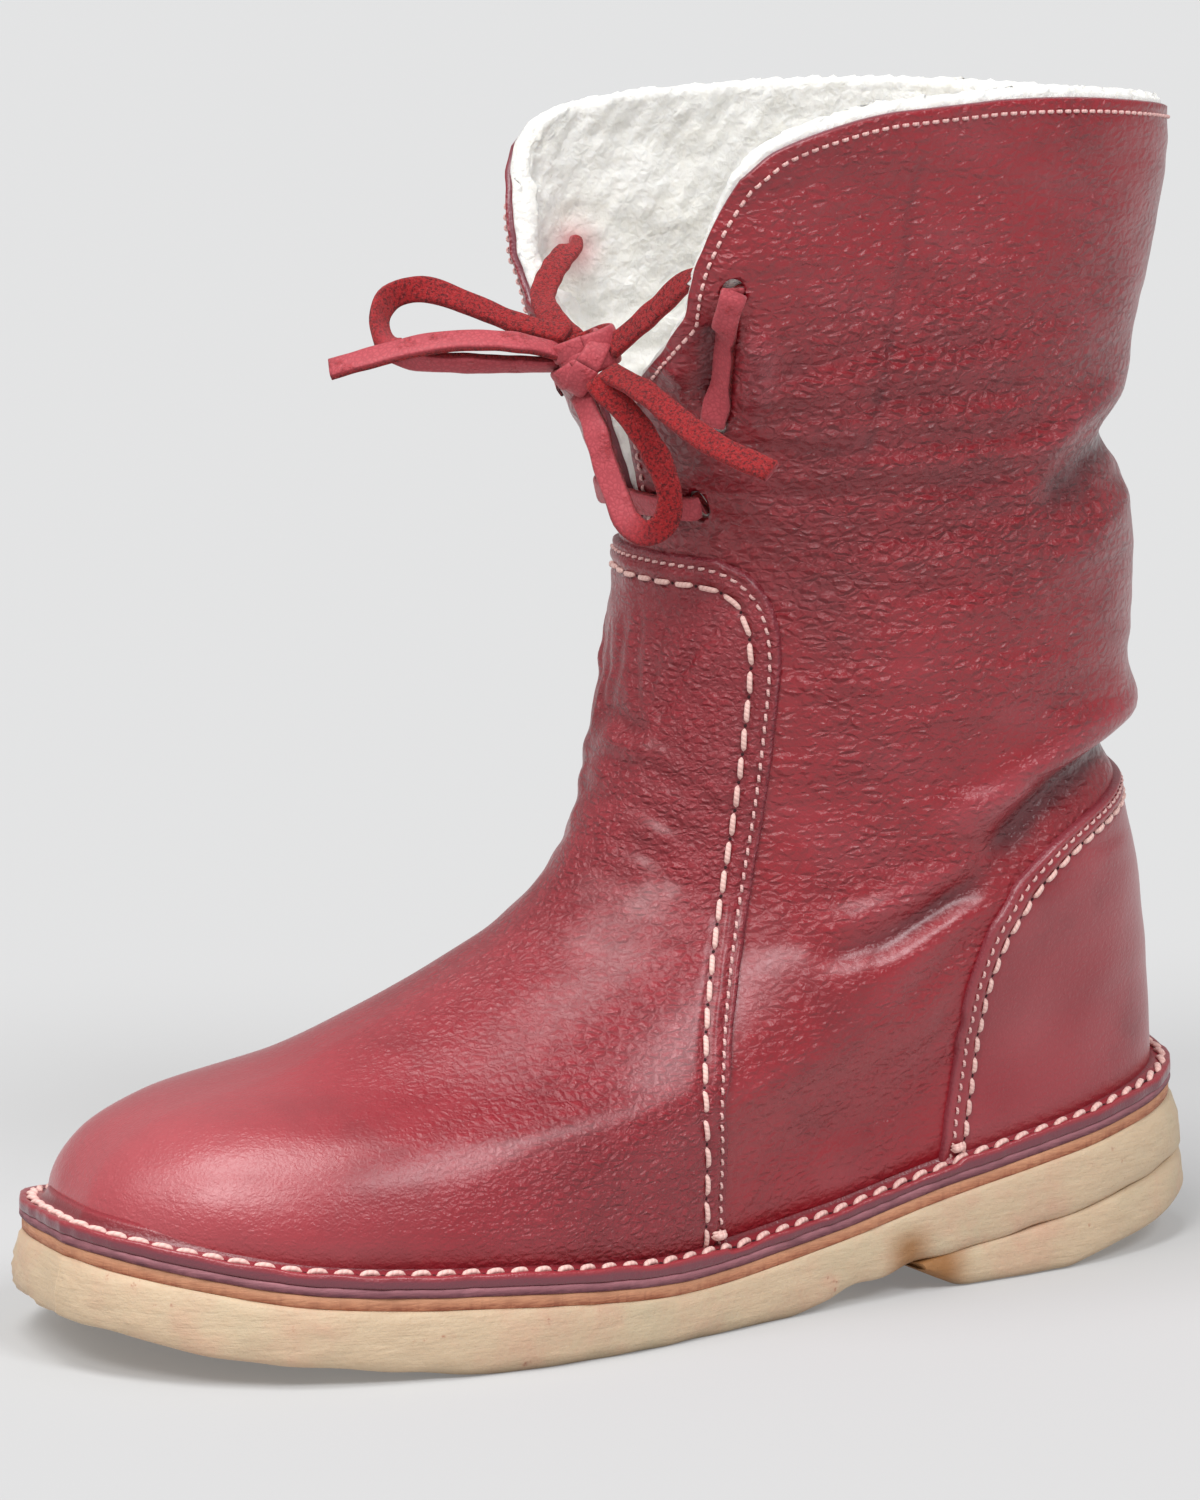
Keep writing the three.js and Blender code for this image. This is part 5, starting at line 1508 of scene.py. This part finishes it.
def ribbon(heap, line, flats, width=LACE_WIDTH, thickness=LACE_THICKNESS, suede=1):
    """A flat thong with rounded edges down a line; flats are its face's normals, suede its rough side"""
    tangent = unit(np.gradient(line, axis=0))
    flat = unit(flats - (flats * tangent).sum(axis=1, keepdims=True) * tangent)
    across = np.cross(tangent, flat)
    angle = 2 * np.pi * np.arange(RIBBON_SIDES) / RIBBON_SIDES
    wide = np.sign(np.cos(angle)) * np.abs(np.cos(angle)) ** 0.45
    tall = np.sign(np.sin(angle)) * np.abs(np.sin(angle)) ** 0.6
    run = lengths_down(line)
    uneven = 1 + 0.05 * waves(run, 0 * run, 13, 71) + 0.03 * waves(run, 0 * run, 5, 72)
    ring = (across[:, None] * (wide * width / 2)[None, :, None] * uneven[:, None, None]
            + flat[:, None] * (tall * thickness / 2)[None, :, None])
    points = line[:, None] + ring
    rough_side = ease((np.outer(suede + 0 * run, np.sin(angle)) + 0.35) / 0.4)
    heap.add(points, tube_faces(len(line), RIBBON_SIDES), suede=rough_side.ravel())


def turning(line, start, end):
    """Normals that turn evenly from one to another down a line"""
    t = np.linspace(0, 1, len(line))[:, None]
    return unit(lerp(np.asarray(start, float), np.asarray(end, float), t))


# Each cord's flat side at its start and end, and how far that side is suede there
LACE_FLATS = {
    "lace_loop_left": ((0.6, -0.1, 0.8), (0.5, 0.2, -0.85), 1, -1),
    "lace_end_left": ((0.5, -0.2, 0.85), (0.5, -0.3, 0.8), -1, -0.6),
    "lace_loop_low": ((0.5, -0.85, 0.1), (0.9, 0.1, -0.1), -1.4, 1.4),
    "lace_end_right": ((0.4, -0.4, 0.8), (0.4, -0.5, 0.75), 1, 1),
}


def make_bow():
    for name, points in BOW.items():
        line = curve_through(points)
        start, end, first_suede, last_suede = LACE_FLATS[name]
        heap = Heap()
        ribbon(heap, line, turning(line, start, end), suede=np.linspace(first_suede, last_suede, len(line)))
        piece = dress(heap.mesh(name + "_thong", LACE_LOOK), "lace_leather", name)


make_bow()


# The knot's wraps as seen from its front, each a ring: how far its middle lies across and up, its way
# across and up, half its depth, half its reach, the thong's width, and the side that is suede
KNOT_TURN = math.radians(59)
KNOT_WRAPS = [
    (0, -0.5, 0.49, 0.87, 5.1, 6.4, 5.4, -1),
    (0.4, 0.2, 0.95, 0.3, 4.0, 5.6, 5.4, -1),
    (-0.8, 3.6, 0.93, 0.36, 3.6, 6.4, 4.4, -1),
    (-2.6, -1.6, 0.8, 0.6, 3.9, 4.4, 4.6, -1),
]


def make_knot():
    heap = Heap()
    knot = np.array(KNOT, float)
    towards = np.array([math.sin(KNOT_TURN), -math.cos(KNOT_TURN), 0])
    sideways = np.array([math.cos(KNOT_TURN), math.sin(KNOT_TURN), 0])
    upwards = np.array([0, 0, 1.0])
    for right, rise, across, up, depth, reach, width, suede in KNOT_WRAPS:
        way = unit(across * sideways + up * upwards)
        angle = np.linspace(0, 2 * np.pi, 41)[:, None]
        ring = towards * depth * np.cos(angle) + way * reach * np.sin(angle)
        ribbon(heap, knot + right * sideways + rise * upwards + ring, ring, width, suede=suede)
    return dress(heap.mesh("lace_knot_wraps", LACE_LOOK), "lace_leather", "lace_knot")


make_knot()


def lace_run(places):
    """Line and normals of a run of lace over places of turn, rise and distance out"""
    line, normals = [], []
    for turn, rise, out in places:
        line.append(place(turn, rise, out))
        normals.append(facing(turn, rise))
    return np.array(line), np.array(normals)


OUTSIDE_LACE = LACE_THICKNESS / 2 + 0.3
INSIDE_LACE = -LEATHER - PILE * 0.7


def make_crossings():
    heap = Heap()
    ends = {}
    for side in (OUTER, INNER):
        upper, middle, lower = [hole_turn(name, side) for name in ("upper", "middle", "lower")]
        places = [(*upper, INSIDE_LACE), (*upper, INSIDE_LACE / 2), (*upper, OUTSIDE_LACE * 0.6)]
        for t in np.linspace(0.12, 0.88, 7):
            places.append((lerp(upper[0], middle[0], t), lerp(upper[1], middle[1], t), OUTSIDE_LACE))
        places += [(*middle, OUTSIDE_LACE * 0.6), (*middle, INSIDE_LACE / 2), (*middle, INSIDE_LACE)]
        for t in np.linspace(0.3, 0.7, 3):
            places.append((lerp(middle[0], lower[0], t), lerp(middle[1], lower[1], t), INSIDE_LACE))
        places += [(*lower, INSIDE_LACE), (*lower, INSIDE_LACE / 2), (*lower, OUTSIDE_LACE * 0.6)]
        line, normals = lace_run(places)
        strand = np.array(STRANDS[side], float)
        line = np.vstack([strand, line])
        normals = np.vstack([np.tile([0.6, -0.45, 0.66], (len(strand), 1)), normals])
        ends[side] = (line, normals)
    rise = HOLES["lower"][0]
    across = [(s * abs(hole_turn("lower", OUTER if s > 0 else INNER)[0]), rise, OUTSIDE_LACE + 0.4)
              for s in np.linspace(0.82, -0.82, 9)]
    line, normals = lace_run(across)
    whole = np.vstack([ends[OUTER][0], line, ends[INNER][0][::-1]])
    facings = np.vstack([ends[OUTER][1], normals, ends[INNER][1][::-1]])
    fine = curve_through(whole, 1.0)
    spots = lengths_down(whole)
    spots /= spots[-1]
    at = np.linspace(0, 1, len(fine))
    flats = unit(columns_at(at, spots, facings))
    sides = np.full(len(whole), -1.0)
    sides[:len(STRANDS[OUTER])] = 1
    sides[-len(STRANDS[INNER]):] = 1
    ribbon(heap, fine, flats, suede=np.interp(at, spots, sides))
    return dress(heap.mesh("lace_run", LACE_LOOK), "lace_leather", "lace_crossings")


make_crossings()


# Floor, light and backdrop: suns and sky are even, so the floor is the same all the way back
FLOOR_SHADE = 0.42
FLOOR_GLOW = 0.163
SKY_LIGHT = 0.38
# Suns: name, azimuth, elevation and spread in degrees, strength, tint
SUNS = [
    ("key", 34, 48, 20, 1.15, (1, 1, 1)),
    ("top", 10, 76, 26, 1.3, (1, 1, 1)),
    ("side", 102, 48, 20, 1.25, (0.95, 0.97, 1)),
    ("front", -10, 46, 30, 0.5, (1, 1, 1)),
]


def make_floor(color, glow):
    mesh = bpy.data.meshes.new("floor")
    wide = 12.0
    corners = [(-wide, -wide, 0), (wide, -wide, 0), (wide, wide, 0), (-wide, wide, 0)]
    mesh.from_pydata(corners, [], [(0, 1, 2, 3)])
    material, nodes = new_material("floor_paper")
    finish(nodes, (color, color, color, 1), 0.9, None, Specular_IOR_Level=0.0, Emission_Color=(1, 1, 1, 1),
           Emission_Strength=glow)
    mesh.materials.append(material)
    floor = bpy.data.objects.new("floor", mesh)
    bpy.context.scene.collection.objects.link(floor)


def make_sun(name, azimuth, elevation, spread_angle, strength, tint):
    data = bpy.data.lights.new(name, "SUN")
    data.angle = math.radians(spread_angle)
    data.energy = strength
    data.color = tint
    sun = bpy.data.objects.new(name, data)
    sun.location = aim(sun, azimuth, elevation)
    bpy.context.scene.collection.objects.link(sun)


def make_world(strength):
    world = bpy.data.worlds.new("studio")
    world.use_nodes = True
    background = world.node_tree.nodes["Background"]
    background.inputs[0].default_value = (1, 1, 1, 1)
    background.inputs[1].default_value = strength
    bpy.context.scene.world = world


make_floor(FLOOR_SHADE, FLOOR_GLOW)
make_world(SKY_LIGHT)
for settings in SUNS:
    make_sun(*settings)
bpy.context.scene.view_settings.view_transform = "Standard"
